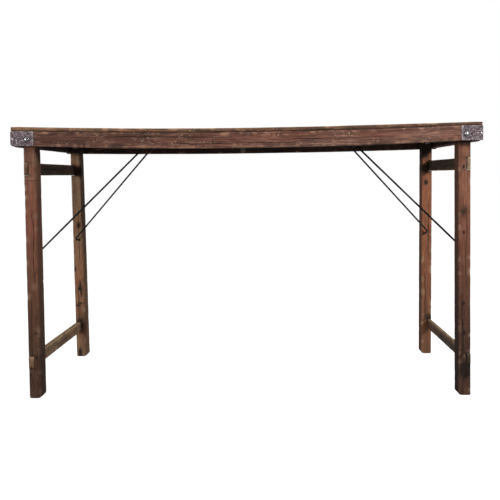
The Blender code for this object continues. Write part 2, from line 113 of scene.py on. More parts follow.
# ---------------------------------------------------------------- noise, sag and lean
def ripple(places, size, seed):
    """Smooth noise from -1 to 1: a random number at each corner of a lattice whose cells have
    that size, blended between the corners with 3t^2 - 2t^3 along each axis."""
    scaled = places / np.asarray(size, float)
    cell = np.floor(scaled).astype(np.int64)
    share = scaled - cell
    share = share * share * (3 - 2 * share)
    total = np.zeros(scaled.shape[:-1])
    for corner in np.ndindex(2, 2, 2):
        at = cell + np.array(corner)
        mixed = at[..., 0] * 73856093 ^ at[..., 1] * 19349663 ^ at[..., 2] * 83492791
        mixed = (mixed ^ seed * 7919) * 1274126177
        value = (mixed >> 15 & 0xFFFF) / 32767.5 - 1
        total += np.prod(np.where(corner, share, 1 - share), axis=-1) * value
    return total


def line_noise(along, size, seed):
    """Smooth noise from -1 to 1 along a line."""
    places = np.stack([along, np.full_like(along, seed * 3.7), np.zeros_like(along)], axis=-1)
    return ripple(places, size, seed)


def sag(x, y):
    """Drop of the top: a parabola along X, deeper at the front edge than at the back edge."""
    share = (y + HALF_DEPTH) / (2 * HALF_DEPTH)
    return (SAG_FRONT * (1 - share) + SAG_BACK * share) * np.maximum(1 - (x / SAG_REACH) ** 2, 0)


def lean(side, y, z):
    """Shift in X of a trestle's point: nothing in front, and at the back with the drop."""
    share = (y + LEG_MIDDLE_Y) / (2 * LEG_MIDDLE_Y)
    return -SIDES[side] * BACK_LEG_LEAN[side] * share * (HINGE_Z - z)


# ---------------------------------------------------------------- meshes
WEAR = ("rub", "dark", "red")   # layers that say where the finish is rubbed, where it is dirty or darkened by painted shade, and where it is reddish


def close_grid(name, points, layers):
    """A closed mesh from rows of points that each run round once: quads between the rows, and a
    fan at each end. layers holds a value for each point, by name, and what it lacks is 0."""
    rows, columns = points.shape[:2]
    layers = {**{label: np.zeros((rows, columns)) for label in WEAR}, **layers}
    index = np.arange(rows * columns).reshape(rows, columns)
    after = np.roll(index, -1, axis=1)
    quads = np.stack([index[:-1], after[:-1], after[1:], index[1:]], axis=-1).reshape(-1, 4)
    first = np.full(columns, rows * columns)
    fans = np.concatenate([np.stack([first, after[0], index[0]], axis=-1),
                           np.stack([first + 1, index[-1], after[-1]], axis=-1)])
    middles = np.stack([points[0].mean(axis=0), points[-1].mean(axis=0)])
    everywhere = np.concatenate([points.reshape(-1, 3), middles])
    spread = np.einsum("ij,ij->i", everywhere[quads[:, 0]] - middles[0],
                       np.cross(everywhere[quads[:, 2]] - everywhere[quads[:, 0]],
                                everywhere[quads[:, 3]] - everywhere[quads[:, 1]]))
    if spread.sum() < 0:
        quads, fans = quads[:, ::-1], fans[:, ::-1]
    mesh = bpy.data.meshes.new(name)
    mesh.vertices.add(len(everywhere))
    mesh.vertices.foreach_set("co", everywhere.astype(np.float32).ravel())
    mesh.loops.add(quads.size + fans.size)
    mesh.loops.foreach_set("vertex_index", np.concatenate([quads.ravel(), fans.ravel()]))
    mesh.polygons.add(len(quads) + len(fans))
    starts = np.concatenate([np.arange(len(quads)) * 4,
                             quads.size + np.arange(len(fans)) * 3])
    mesh.polygons.foreach_set("loop_start", starts)
    mesh.update(calc_edges=True)
    mesh.shade_smooth()
    for label, values in layers.items():
        vector = values.ndim == 3
        flat = values.reshape(rows * columns, -1)
        ends = np.stack([flat[:columns].mean(axis=0), flat[-columns:].mean(axis=0)])
        layer = mesh.attributes.new(label, "FLOAT_VECTOR" if vector else "FLOAT", "POINT")
        layer.data.foreach_set("vector" if vector else "value",
                               np.concatenate([flat, ends]).astype(np.float32).ravel())
    return mesh


def linked(name, data):
    """A new object of the scene with those data."""
    made = bpy.data.objects.new(name, data)
    bpy.context.scene.collection.objects.link(made)
    return made


def put(mesh, node, finish, name=None):
    """Shows a mesh in place of a node: it rides on the node's body, and the node is hidden. With a name of
    its own it stands for no node, and no node is hidden."""
    piece = linked(name or node + "_worn", mesh)
    mesh.materials.append(finish)
    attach(piece, BODY_OF[node])
    if name is None:
        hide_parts(node)
    return piece


CORNERS = np.array([(1, 1), (-1, 1), (-1, -1), (1, -1)], float)
ARC_POINTS = 4
BESIDE_CRACK = np.array([-0.0022, -0.0013, -0.0006, 0.0, 0.0006, 0.0013, 0.0022])
CRACK_CLEAR = 0.0030        # half the band that holds only a crack's own points
CRACK_WAVER = 0.0022        # how far a crack strays sideways, over CRACK_WAVER_SIZE
CRACK_WAVER_SIZE = 0.07
CRACK_WAVER_REACH = 0.014   # half the band that strays with it
CRACK_HALF_WIDTH = 0.0008
CRACK_DIRT_WIDTH = 0.0011
CRACK_TAPER = 0.02
NICK_LENGTHS = (0.002, 0.009)
NICK_EDGE = 0.004           # width of the rubbed wood beside a nick
NICK_RUBBED = 0.0012        # depth at which a nick is rubbed all through
STOP_HALF_STEP = 0.00005    # half the length of an abrupt step along a bar
SWELL, FINE_SWELL = (0.11, 0.025, 0.025), (0.03, 0.011, 0.011)      # sizes of the worn hollows
PATCHES, BROKEN = (0.035, 0.006, 0.006), (0.009, 0.004, 0.004)      # sizes of the rubbed patches


def round_section(stations, section, radii, spacing, cracks, seed):
    """Points round a four-cornered section at each station, and facts about each column of them.

    section gives low and high across, then low and high up, for each station. Corner k is an arc
    of radius radii[:, k], and side k runs from corner k to corner k + 1. Beside a crack the
    points gather, and they waver together along the piece.
    """
    low_b, high_b, low_c, high_c = section
    half = np.stack([(high_b - low_b) / 2, (high_c - low_c) / 2], axis=-1)
    centre = np.stack([(high_b + low_b) / 2, (high_c + low_c) / 2], axis=-1)
    radii = np.minimum(radii, half.min(axis=1)[:, None] * 0.98)
    typical = np.median(half, axis=0)
    places, normals, edge, side, corner, share_of = [], [], [], [], [], []
    for k in range(4):
        following = (k + 1) % 4
        angles = (k + np.arange(ARC_POINTS) / (ARC_POINTS - 1)) * math.pi / 2
        arc = np.stack([np.cos(angles), np.sin(angles)], axis=-1)
        core = centre + CORNERS[k] * (half - radii[:, [k]])
        places.append(core[:, None] + radii[:, [k], None] * arc)
        normals.append(np.broadcast_to(arc, places[-1].shape))
        length = 2 * typical[k % 2]
        count = max(int(length / spacing), 2)
        shares = np.arange(1, count) / count
        splits = [crack[1] for crack in cracks if crack[0] == k]
        for split in splits:
            shares = shares[np.abs(shares - split) > CRACK_CLEAR / length]
            shares = np.sort(np.concatenate([shares, split + BESIDE_CRACK / length]))
        share = np.broadcast_to(shares, (len(stations), len(shares))).copy()
        for number, split in enumerate(splits):
            waver = line_noise(stations, CRACK_WAVER_SIZE, seed + 31 * number) * CRACK_WAVER / length
            share += waver[:, None] * np.exp(-((shares - split) * length / CRACK_WAVER_REACH) ** 2)
        outward = np.array([math.cos((k + 1) * math.pi / 2), math.sin((k + 1) * math.pi / 2)])
        begin = places[-1][:, -1]
        end = centre + CORNERS[following] * (half - radii[:, [following]])
        end = end + radii[:, [following]] * outward
        places.append(begin[:, None] + (end - begin)[:, None] * share[..., None])
        normals.append(np.broadcast_to(outward, places[-1].shape))
        edge.append(np.concatenate([np.zeros(ARC_POINTS),
                                    np.minimum(shares, 1 - shares) * length]))
        side.append(np.full(ARC_POINTS + len(shares), k))
        corner.append(np.concatenate([np.full(ARC_POINTS, k),
                                      np.where(shares < 0.5, k, following)]))
        share_of.append(np.concatenate([np.full(ARC_POINTS, -1.0), shares]))
    facts = [np.concatenate(x) for x in (edge, side, corner, share_of)]
    return np.concatenate(places, 1), np.concatenate(normals, 1), facts


def worn_stations(start, stop, step, end_round, stops):
    """Distances along a bar: even, closer at its rounded ends, and in pairs at each abrupt stop."""
    ends = end_round * np.array([0.0, 0.07, 0.29, 0.62, 1.0])
    count = max(int((stop - start) / step), 3)
    stations = np.linspace(start + end_round, stop - end_round, count)
    pairs = np.array([at + nudge * STOP_HALF_STEP for at in stops for nudge in (-1, 1)])
    if len(pairs):
        away = np.abs(stations[:, None] - pairs).min(axis=1)
        stations = stations[away > step * 0.3]
    return np.unique(np.concatenate([start + ends, stations, stop - ends[::-1], pairs]))


def carved_bar(name, reach, section, place, seed, edges, step, spacing, nicks,
               end_round=0.0015, rough=0.0004, nick_depth=0.0015, stops=(), cracks=(), marks=(),
               pale_sides=(0, 0, 0, 0), pale_edges=(1, 1, 1, 1), grime_and_shade=(0, 0, 0, 0),
               edge_width=0.0035):
    """A worn bar: a rounded four-cornered section carried from reach[0] to reach[1].

    section gives the section's low and high across and low and high up, at each distance along.
    edges are its corners' radii, step the points' spacing along and spacing that across.
    The section shrinks at both ends as a quarter circle of radius end_round. Its surface goes
    in, never out, by rough times squared noise, by nicks along its four edges, which are wider
    roundings with a bell shape, and by cracks of (side, share across, start, end, depth).
    place maps (along, across, up) to the model's frame. marks are soft ellipsoids of
    (layer, centre, radii, amount) that add to the layers "rub", "dark" and "red".
    """
    start, stop = reach
    stations = worn_stations(start, stop, step, end_round, stops)
    depth_in = np.minimum(np.minimum(stations - start, stop - stations), end_round)
    inset = end_round - np.sqrt(np.maximum(end_round ** 2 - (end_round - depth_in) ** 2, 0))
    low_b, high_b, low_c, high_c = (np.broadcast_to(x, stations.shape) for x in section(stations))
    shrunk = (low_b + inset, high_b - inset, low_c + inset, high_c - inset)
    chance = np.random.default_rng(seed)
    middles = chance.uniform(start, stop, (4, nicks))
    lengths = chance.uniform(*NICK_LENGTHS, (4, nicks))
    depths = nick_depth * chance.uniform(0.2, 1.0, (4, nicks)) ** 2
    bells = np.exp(-((stations[:, None, None] - middles) / lengths) ** 2) * depths
    nicked = bells.sum(axis=2)
    slow = np.stack([line_noise(stations, 0.09, seed + k) for k in range(4)], axis=-1)
    quick = np.stack([line_noise(stations, 0.021, seed + 9 + k) for k in range(4)], axis=-1)
    radii = np.asarray(edges) * (1 + 0.35 * slow + 0.2 * quick) + nicked
    across, normals, facts = round_section(stations, shrunk, radii, spacing, cracks, seed)
    edge, side, corner, share = facts
    along = np.broadcast_to(stations[:, None, None], (*across.shape[:2], 1))
    local = np.concatenate([along, across], axis=-1)
    swell = ripple(local, SWELL, seed) + 0.5 * ripple(local, FINE_SWELL, seed + 1)
    depth = rough * np.clip(0.55 + 0.45 * swell, 0, 2) ** 2
    patchy = 0.5 + 0.5 * ripple(local, PATCHES, seed + 2)
    broken = np.clip(1.6 * patchy + 0.5 * ripple(local, BROKEN, seed + 3) - 0.5, 0, 1)
    rub = np.exp(-edge / edge_width) * np.asarray(pale_edges)[corner] * (0.15 + 0.85 * broken)
    rub = rub + np.exp(-edge / NICK_EDGE) * np.minimum(nicked[:, corner] / NICK_RUBBED, 0.8)
    rub = rub + np.asarray(pale_sides)[side] * (0.4 + 0.6 * patchy)
    # Whole sides are darkened here: dirt in the planks' joints, and painted shade on undersides and inner
    # sides.
    dark = np.asarray(grime_and_shade)[side] * (0.75 + 0.25 * patchy)
    for number, (on_side, split, begin, end, deep) in enumerate(cracks):
        column = np.where(side == on_side, np.abs(share - split), 9).argmin()
        gap = np.linalg.norm(across - across[:, [column]], axis=-1)
        taper = (np.clip((stations - begin) / CRACK_TAPER, 0, 1)
                 * np.clip((end - stations) / CRACK_TAPER, 0, 1))
        taper = taper * (0.7 + 0.3 * line_noise(stations, 0.012, seed + 50 + number))
        opening = taper[:, None] * (side == on_side)
        depth = depth + deep * opening * np.exp(-(gap / CRACK_HALF_WIDTH) ** 2)
        dark = dark + 1.2 * opening * np.exp(-(gap / CRACK_DIRT_WIDTH) ** 2)
    local[..., 1:] -= depth[..., None] * normals
    world = place(local)
    layers = {"rub": rub, "dark": dark, "red": np.zeros(rub.shape)}
    for layer, centre, size, amount in marks:
        away = (world - np.array(centre)) / np.array(size)
        layers[layer] = layers[layer] + amount * np.exp(-(away ** 2).sum(axis=-1))
    layers = {layer: np.clip(values, 0, 1) for layer, values in layers.items()}
    shift = np.array([seed * 0.731 % 5, seed * 0.417 % 3, seed * 0.293 % 3])
    return close_grid(name, world, {"grain": local + shift, **layers})


def steady(low_b, high_b, low_c, high_c):
    """A section that stays the same along a bar."""
    return lambda stations: (low_b, high_b, low_c, high_c)


def turned(name, profile, centre, direction, steps=28, uneven=0.0, seed=0):
    """A profile of (radius, height) turned about direction, out of round by the share uneven."""
    along = np.array(direction, float)
    first = np.cross(along, (0.31, 0.17, 0.93))
    first /= np.linalg.norm(first)
    second = np.cross(along, first)
    radius, height = np.array(profile, float).T
    angles = np.arange(steps) * 2 * math.pi / steps
    circle = np.cos(angles)[:, None] * first + np.sin(angles)[:, None] * second
    points = np.array(centre) + height[:, None, None] * along + radius[:, None, None] * circle
    if uneven:
        dent = ripple(points, 0.006, seed) * uneven - uneven
        points = points + (dent * radius[:, None])[..., None] * circle
        points = points + (dent * 0.5 * radius.max())[..., None] * along * (height[:, None, None] > 0)
    # Rubbed bright towards the crown; on the bolt and strap nail heads this is also a painted highlight.
    rub = np.broadcast_to(np.clip(height / max(height.max(), 1e-6), 0, 1)[:, None] ** 2,
                          points.shape[:2])
    return close_grid(name, points, {"grain": points - np.array(centre) + seed * 0.37, "rub": rub})


CAP_SHARES = (0.45, 0.85)   # of the radius, at a bent bar's end and just before it
CAP_LENGTH = 0.04           # of the last step of the path
RUN_STEP = 0.012            # between the points of a straight run


def bent_bar(name, path, radius, steps, seed):
    """A round bar along path, whose sections turn with it as little as they can."""
    path = np.array(path, float)
    tangent = np.gradient(path, axis=0)
    tangent /= np.linalg.norm(tangent, axis=1)[:, None]
    across = np.cross(tangent[0], (0.2, 0.3, 0.93))
    frames = []
    for heading in tangent:
        across = across - heading * (across @ heading)
        across /= np.linalg.norm(across)
        frames.append(across)
    across = np.array(frames)
    other = np.cross(tangent, across)
    angles = np.arange(steps) * 2 * math.pi / steps
    circle = (np.cos(angles)[:, None] * across[:, None] + np.sin(angles)[:, None] * other[:, None])
    slim = 1 - 0.05 * (1 + line_noise(np.arange(len(path)) * 0.01, 0.03, seed))
    slim[[0, -1]], slim[[1, -2]] = CAP_SHARES
    points = path[:, None] + circle * (slim * radius)[:, None, None]
    length = np.concatenate([[0], np.cumsum(np.linalg.norm(np.diff(path, axis=0), axis=1))])
    grain = np.stack([np.broadcast_to(length[:, None], points.shape[:2]),
                      np.broadcast_to(np.cos(angles) * radius, points.shape[:2]),
                      np.broadcast_to(np.sin(angles) * radius, points.shape[:2])], axis=-1)
    return close_grid(name, points, {"grain": grain + seed * 0.53})


def rounded_path(corners, radius):
    """Points along straight runs between corners, each inner corner a parabola over radius."""
    corners = np.array(corners, float)
    pieces, at = [], corners[0]
    for before, corner, after in zip(corners, corners[1:], corners[2:]):
        first = corner + (before - corner) / np.linalg.norm(before - corner) * radius
        last = corner + (after - corner) / np.linalg.norm(after - corner) * radius
        pieces.append(straight_run(at, first))
        t = np.linspace(0, 1, 8)[:, None]
        pieces.append((first * (1 - t) ** 2 + corner * 2 * t * (1 - t) + last * t ** 2)[:-1])
        at = last
    pieces.append(straight_run(at, corners[-1]))
    pieces.append(corners[[-1]])
    path = np.concatenate(pieces)
    ends = [path[0] + (path[1] - path[0]) * CAP_LENGTH,
            path[-1] + (path[-2] - path[-1]) * CAP_LENGTH]
    return np.concatenate([path[:1], ends[:1], path[1:-1], ends[1:], path[-1:]])


def straight_run(start, stop):
    """Even points from start up to stop, which is left out."""
    count = max(int(np.linalg.norm(stop - start) / RUN_STEP), 2)
    return start + (stop - start) * (np.arange(count) / count)[:, None]


def drilled(mesh, holes):
    """The mesh with round holes of (start, end, radius) cut out of it."""
    piece = linked("blank", mesh)
    drills = []
    for start, end, radius in holes:
        start, end = Vector(start), Vector(end)
        shape = bmesh.new()
        bmesh.ops.create_cone(shape, cap_ends=True, segments=28, radius1=radius, radius2=radius,
                              depth=(end - start).length)
        turn = (end - start).to_track_quat("Z", "X").to_matrix().to_4x4()
        bmesh.ops.transform(shape, verts=shape.verts,
                            matrix=Matrix.Translation((start + end) / 2) @ turn)
        drill_mesh = bpy.data.meshes.new("drill")
        shape.to_mesh(drill_mesh)
        shape.free()
        drill = linked("drill", drill_mesh)
        hole = piece.modifiers.new("hole", "BOOLEAN")
        hole.operation = "DIFFERENCE"
        hole.object = drill
        drills.append(drill)
    evaluated = piece.evaluated_get(bpy.context.evaluated_depsgraph_get())
    bored = bpy.data.meshes.new_from_object(evaluated)
    for used in (piece, *drills):
        bpy.data.objects.remove(used)
    bored.name = mesh.name
    bored.materials.clear()
    bored.set_sharp_from_angle(angle=math.radians(55))
    return bored


# ---------------------------------------------------------------- finishes
class Finish:
    """A material, with short ways to add the nodes that the table's finishes use."""

    def __init__(self, name):
        self.material = bpy.data.materials.new(name)
        self.material.use_nodes = True
        self.nodes = self.material.node_tree.nodes
        self.links = self.material.node_tree.links
        self.shader = self.nodes["Principled BSDF"]

    def feed(self, socket, value):
        """Links value if it is another node's output, and otherwise sets it."""
        if hasattr(value, "is_output"):
            self.links.new(value, socket)
        else:
            socket.default_value = value

    def add(self, kind, inputs, output=0, **settings):
        """A new node with those settings and inputs, of which one output is returned."""
        made = self.nodes.new(kind)
        for name, value in settings.items():
            setattr(made, name, value)
        for socket, value in inputs.items():
            self.feed(made.inputs[socket], value)
        return made.outputs[output]

    def look(self, **inputs):
        """Feeds the shader's inputs, whose names are given with _ for a space."""
        for socket, value in inputs.items():
            self.feed(self.shader.inputs[socket.replace("_", " ")], value)

    def layer(self, name):
        """One of the layers that the piece's mesh carries."""
        return self.add("ShaderNodeAttribute", {}, "Vector" if name == "grain" else "Fac",
                        attribute_name=name)

    def turn(self, vector, angle):
        """The vector turned by the same angle about each axis."""
        return self.add("ShaderNodeMapping", {"Vector": vector, "Rotation": (angle,) * 3},
                        vector_type="POINT")

    def noise(self, vector, scale, detail=3.0, roughness=0.55, distortion=0.0):
        """Noise from 0 to 1 over vector times scale."""
        place = self.add("ShaderNodeVectorMath", {0: vector, 1: scale}, operation="MULTIPLY")
        return self.add("ShaderNodeTexNoise",
                        {"Vector": place, "Scale": 1.0, "Detail": detail, "Roughness": roughness,
                         "Distortion": distortion}, "Fac")

    def between(self, value, low, high, to_low=0.0, to_high=1.0):
        """Value moved from the span low to high onto the span to_low to to_high, and held in it."""
        return self.add("ShaderNodeMapRange",
                        {"Value": value, "From Min": low, "From Max": high, "To Min": to_low,
                         "To Max": to_high}, "Result", interpolation_type="SMOOTHSTEP")

    def sum(self, operation, first, second):
        return self.add("ShaderNodeMath", {0: first, 1: second}, operation=operation)

    def times(self, first, second):
        return self.sum("MULTIPLY", first, second)

    def blend(self, share, first, second, way="MIX"):
        """First colour where share is 0 and second where it is 1."""
        return self.add("ShaderNodeMix", {0: share, 6: first, 7: second}, 2, data_type="RGBA",
                        blend_type=way)

    def colours(self, value, stops):
        """A colour ramp of (place, colour) stops."""
        result = self.add("ShaderNodeValToRGB", {0: value})
        ramp = result.node.color_ramp
        for element, (place, colour) in zip(ramp.elements, (stops[0], stops[-1])):
            element.position, element.color = place, (*colour, 1.0)
        for place, colour in stops[1:-1]:
            ramp.elements.new(place).color = (*colour, 1.0)
        return result

    def relief(self, height, strength, depth):
        """Bumps of that height under the finish."""
        self.look(Normal=self.add("ShaderNodeBump", {"Strength": strength, "Distance": depth,
                                                     "Height": height}))


def weathered_wood(name, deep, middle, pale, red, rubbed, fade=None, scratches=0.6, specks=0.0,
                   banding=0.9):
    """Old hardwood: streaks, bands and fibres along the grain, reddish and dark patches, open pores,
    clustered scratches, pale specks, rubbed edges, grime and painted shade, in the piece's grain layer.
    fade is (axis, start, stop, shade at start, shade at stop) in the model's frame, and banding
    is the strength of the bands."""
    wood = Finish(name)
    grain = wood.layer("grain")
    streaks = wood.noise(grain, (2.6, 62, 62), 5.0, 0.62, 0.5)
    bands = wood.noise(grain, (15, 320, 320), 4.0, 0.65, 0.5)
    fibres = wood.noise(grain, (16, 700, 700), 3.0, 0.6)
    blotches = wood.noise(grain, (13, 36, 36), 4.0, 0.62)
    patches = wood.noise(grain, (3.2, 9, 9), 2.0, 0.5)
    pores = wood.between(wood.noise(grain, (60, 1300, 1300), 2.0), 0.60, 0.70)
    colour = wood.colours(streaks, [(0.30, deep), (0.50, middle), (0.70, pale)])
    colour = wood.blend(wood.between(patches, 0.48, 0.66, 0.0, 0.55), colour, (*red, 1))
    colour = wood.blend(wood.between(blotches, 0.52, 0.66, 0.0, 0.60), colour, (*deep, 1))
    colour = wood.blend(wood.layer("red"), colour, (*red, 1))
    shade = wood.colours(bands, [(0.34, (0.40,) * 3), (0.50, (0.95,) * 3), (0.66, (1.75,) * 3)])
    colour = wood.blend(banding, colour, shade, "MULTIPLY")
    shade = wood.colours(fibres, [(0.32, (0.70,) * 3), (0.64, (1.22,) * 3)])
    colour = wood.blend(0.9, colour, shade, "MULTIPLY")
    if fade:
        axis, *span = fade
        place = wood.add("ShaderNodeTexCoord", {}, "Object")
        shade = wood.between(wood.add("ShaderNodeSeparateXYZ", {0: place}, axis), *span)
        colour = wood.blend(1.0, colour, shade, "MULTIPLY")
    clusters = wood.between(wood.noise(grain, (12, 26, 26), 2.0), 0.44, 0.62)
    along = wood.between(wood.noise(grain, (30, 480, 480), 2.0, 0.5, 0.5), 0.60, 0.66)
    slanted = wood.noise(wood.turn(grain, 0.38), (48, 480, 480), 2.0, 0.5, 0.8)
    scored = wood.sum("MAXIMUM", along, wood.between(slanted, 0.60, 0.66))
    scored = wood.times(wood.times(scored, clusters), scratches)
    colour = wood.blend(scored, colour, (*rubbed, 1))
    worn = wood.times(wood.layer("rub"), wood.between(bands, 0.34, 0.60, 0.35, 1.0))
    colour = wood.blend(worn, colour, (*rubbed, 1))
    if specks:
        flecks = wood.between(wood.noise(grain, (260, 300, 300), 1.0), 0.70, 0.76, 0.0, specks)
        colour = wood.blend(wood.times(flecks, clusters), colour, (0.72, 0.64, 0.56, 1))
    colour = wood.blend(wood.times(pores, 0.5), colour, (*(0.3 * c for c in deep), 1))
    # The dark layer holds dirt in cracks, stains and burns, and also painted shade and painted shadows.
    colour = wood.blend(wood.layer("dark"), colour, (*(0.22 * c for c in deep), 1))
    wood.look(Base_Color=colour, Roughness=wood.between(streaks, 0.3, 0.7, 0.60, 0.85),
              Specular_IOR_Level=0.28)
    height = wood.sum("ADD", wood.times(fibres, 0.6), wood.times(bands, 1.1))
    height = wood.sum("SUBTRACT", height, wood.times(pores, 0.7))
    height = wood.sum("SUBTRACT", height, wood.times(scored, 0.5))
    wood.relief(height, 0.7, 0.0011)
    return wood.material


def forged_iron(name, dark, light, rust, bright, metal, gloss, specks):
    """Forged iron: mottled grey scale, rust, pale specks, and metal rubbed bright on the crowns, which on
    the domed heads of the bolt iron is also a painted highlight.
    """
    iron = Finish(name)
    grain = iron.layer("grain")
    mottle = iron.noise(grain, (130, 130, 130), 5.0, 0.7, 0.5)
    spots = iron.noise(grain, (330, 330, 330), 3.0, 0.6)
    patches = iron.noise(grain, (45, 45, 45), 3.0, 0.55)
    colour = iron.colours(mottle, [(0.38, dark), (0.62, light)])
    colour = iron.blend(iron.between(patches, 0.48, 0.66, 0.0, 0.6), colour, (*rust, 1))
    colour = iron.blend(iron.between(spots, 0.55, 0.66, 0.0, specks), colour, (*bright, 1))
    worn = iron.times(iron.layer("rub"), iron.between(mottle, 0.36, 0.60, 0.2, 1.0))
    colour = iron.blend(worn, colour, (*bright, 1))
    pits = iron.between(iron.noise(grain, (400, 400, 400), 2.0, 0.6), 0.58, 0.66, 0.0, 0.75)
    colour = iron.blend(pits, colour, (*(0.35 * c for c in dark), 1))
    colour = iron.blend(iron.layer("dark"), colour, (0.006, 0.005, 0.005, 1))
    iron.look(Base_Color=colour, Metallic=metal,
              Roughness=iron.between(mottle, 0.3, 0.7, *gloss))
    iron.relief(iron.sum("ADD", mottle, iron.times(spots, 0.6)), 0.7, 0.0012)
    return iron.material


X_AXIS, Z_AXIS = 0, 2
TOP_WOOD = weathered_wood("worn_brown_planks", (0.050, 0.023, 0.015), (0.150, 0.072, 0.044),
                          (0.290, 0.158, 0.096), (0.210, 0.074, 0.040), (0.500, 0.275, 0.140),
                          scratches=0.6, specks=0.4)
APRON_WOOD = weathered_wood("purple_brown_apron_wood", (0.028, 0.015, 0.013),
                            (0.104, 0.053, 0.042), (0.200, 0.118, 0.086),
                            (0.180, 0.062, 0.037), (0.470, 0.250, 0.160),
                            fade=(X_AXIS, -0.60, 0.62, 0.80, 1.38), scratches=0.9, specks=0.9)
# Near-black wood for the battens under the top, as painted shade.
HIDDEN_WOOD = weathered_wood("sooty_frame_wood", (0.022, 0.016, 0.015), (0.050, 0.038, 0.035),
                             (0.088, 0.070, 0.064), (0.056, 0.034, 0.028), (0.110, 0.086, 0.074),
                             scratches=0.2)
LEG_WOOD = {
    "front": weathered_wood("red_brown_leg_wood", (0.070, 0.028, 0.016), (0.136, 0.059, 0.033),
                            (0.195, 0.097, 0.057), (0.168, 0.054, 0.029),
                            (0.350, 0.200, 0.130), fade=(Z_AXIS, 0.02, 0.68, 0.56, 1.50),
                            scratches=0.35, banding=0.42),
    "back": weathered_wood("lighter_brown_leg_wood", (0.135, 0.070, 0.037),
                           (0.285, 0.158, 0.086), (0.400, 0.238, 0.138),
                           (0.300, 0.104, 0.050), (0.520, 0.340, 0.190),
                           fade=(Z_AXIS, 0.02, 0.62, 0.85, 1.18), scratches=0.3, banding=0.42),
}
STRETCHER_WOOD = weathered_wood("brown_stretcher_wood", (0.090, 0.050, 0.030),
                                (0.215, 0.128, 0.078), (0.340, 0.215, 0.135),
                                (0.230, 0.100, 0.056), (0.600, 0.410, 0.230), scratches=0.35,
                                banding=0.6)
PALE_WOOD = weathered_wood("dusty_cleat_wood", (0.14, 0.10, 0.075), (0.26, 0.20, 0.155),
                           (0.36, 0.30, 0.24), (0.28, 0.18, 0.12), (0.45, 0.38, 0.30))
STRAP_IRON = forged_iron("purple_grey_strap_iron", (0.022, 0.012, 0.015), (0.205, 0.142, 0.162),
                         (0.135, 0.054, 0.046), (0.780, 0.680, 0.720), 0.25, (0.45, 0.75), 0.85)
# Bolt and strap nail heads: their bright crowns are rubbed metal and also a painted highlight.
BOLT_IRON = forged_iron("rubbed_bolt_iron", (0.050, 0.040, 0.044), (0.300, 0.270, 0.280),
                        (0.090, 0.055, 0.046), (0.950, 0.920, 0.930), 0.85, (0.20, 0.32), 0.4)
ROD_IRON = forged_iron("black_rod_iron", (0.003, 0.0025, 0.0025), (0.007, 0.006, 0.006),
                       (0.010, 0.006, 0.005), (0.020, 0.018, 0.018), 0.0, (0.75, 0.90), 0.10)


# ---------------------------------------------------------------- the top
def laid(order, leaning=None, sagging=False):
    """Maps a bar's (along, across, up) to the model's frame: order says which of the three X, Y
    and Z are, leaning is the side whose trestle's lean is added, and sagging lowers it by the
    top's sag."""
    def place(local):
        x, y, z = np.moveaxis(local[..., order], -1, 0)
        if leaning:
            x = x + lean(leaning, y, z)
        if sagging:
            z = z - sag(x, y)
        return np.stack([x, y, z], axis=-1)
    return place


ALONG_X, ALONG_Y, ALONG_Z = [0, 1, 2], [1, 0, 2], [1, 2, 0]


BOARD_CRACKS = {
    1: [(0, 0.30, -0.60, -0.18, 0.0016), (0, 0.71, 0.10, 0.66, 0.0012)],
    2: [(0, 0.55, -0.30, 0.25, 0.0012)],
    3: [(0, 0.24, -0.67, -0.35, 0.0018), (0, 0.62, 0.22, 0.50, 0.0010)],
    4: [(0, 0.45, 0.30, 0.67, 0.0016)],
    5: [(0, 0.36, -0.45, 0.02, 0.0012), (0, 0.80, 0.15, 0.48, 0.0012)],
}


def board_wear(x):
    """How far the planks are worn down towards the right end, steeper as it nears."""
    return 0.0032 * np.clip((x - 0.30) / 0.36, 0, 1) ** 1.5


def make_boards():
    """Planks with rounded, nicked edges; the front one's outer edge is rubbed, most at its left."""
    for i in range(1, 6):
        first, last = i == 1, i == 5
        node = f"top_board_{i}"
        low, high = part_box(node)
        marks = [("dark", (-0.22 + 0.13 * i, low.y + 0.05 + 0.01 * i, BOARD_TOP),
                  (0.045, 0.040, 0.03), 0.45),
                 ("red", (0.42 - 0.17 * i, low.y + 0.09, BOARD_TOP), (0.09, 0.05, 0.03), 0.5),
                 ("rub", (-0.05 + 0.07 * i, low.y + 0.07, BOARD_TOP), (0.16, 0.05, 0.03), 0.35)]
        if first:
            marks.append(("rub", (-0.60, low.y, BOARD_TOP), (0.14, 0.02, 0.012), 0.55))
        edges = (0.0018, 0.0022 if first else 0.0018, 0.0010, 0.0010)

        def section(x, low=low, high=high):
            return low.y, high.y, BOARD_TOP - BOARD_THICKNESS, BOARD_TOP - board_wear(x)

        mesh = carved_bar(node, (low.x, high.x), section, laid(ALONG_X, sagging=True), 10 + i,
                          edges, step=0.0055, spacing=0.0048, end_round=0.0014, rough=0.0004,
                          nicks=22, nick_depth=0.0030, cracks=BOARD_CRACKS[i], marks=marks,
                          pale_sides=(0.08, 0, 0, 0), edge_width=0.0026,
                          # The planks' touching sides are darkened as dirty joints, and their undersides as
                          # painted shade.
                          grime_and_shade=(0, 0.0 if first else 0.9, 0.75, 0.0 if last else 0.9),
                          pale_edges=(0.6 if last else 0.25, 0.6 if first else 0.25, 0, 0))
        put(mesh, node, TOP_WOOD)


def end_wear(x):
    """How far the front apron's lower edge is worn up towards both ends, as a straight ramp."""
    return 0.0024 * np.clip((np.abs(x) - 0.38) / 0.24, 0, 1)


# Scratches on the aprons' outer sides, as (x, z, half their length).
APRON_SCRATCHES = ((-0.575, 0.775, 0.012), (-0.530, 0.771, 0.010), (-0.475, 0.770, 0.010),
                   (-0.386, 0.748, 0.016), (-0.255, 0.757, 0.020), (-0.155, 0.744, 0.010),
                   (-0.062, 0.760, 0.013), (0.040, 0.748, 0.022), (0.118, 0.762, 0.009),
                   (0.205, 0.745, 0.018), (0.292, 0.757, 0.026), (0.365, 0.770, 0.010),
                   (0.455, 0.752, 0.020), (0.540, 0.763, 0.014))


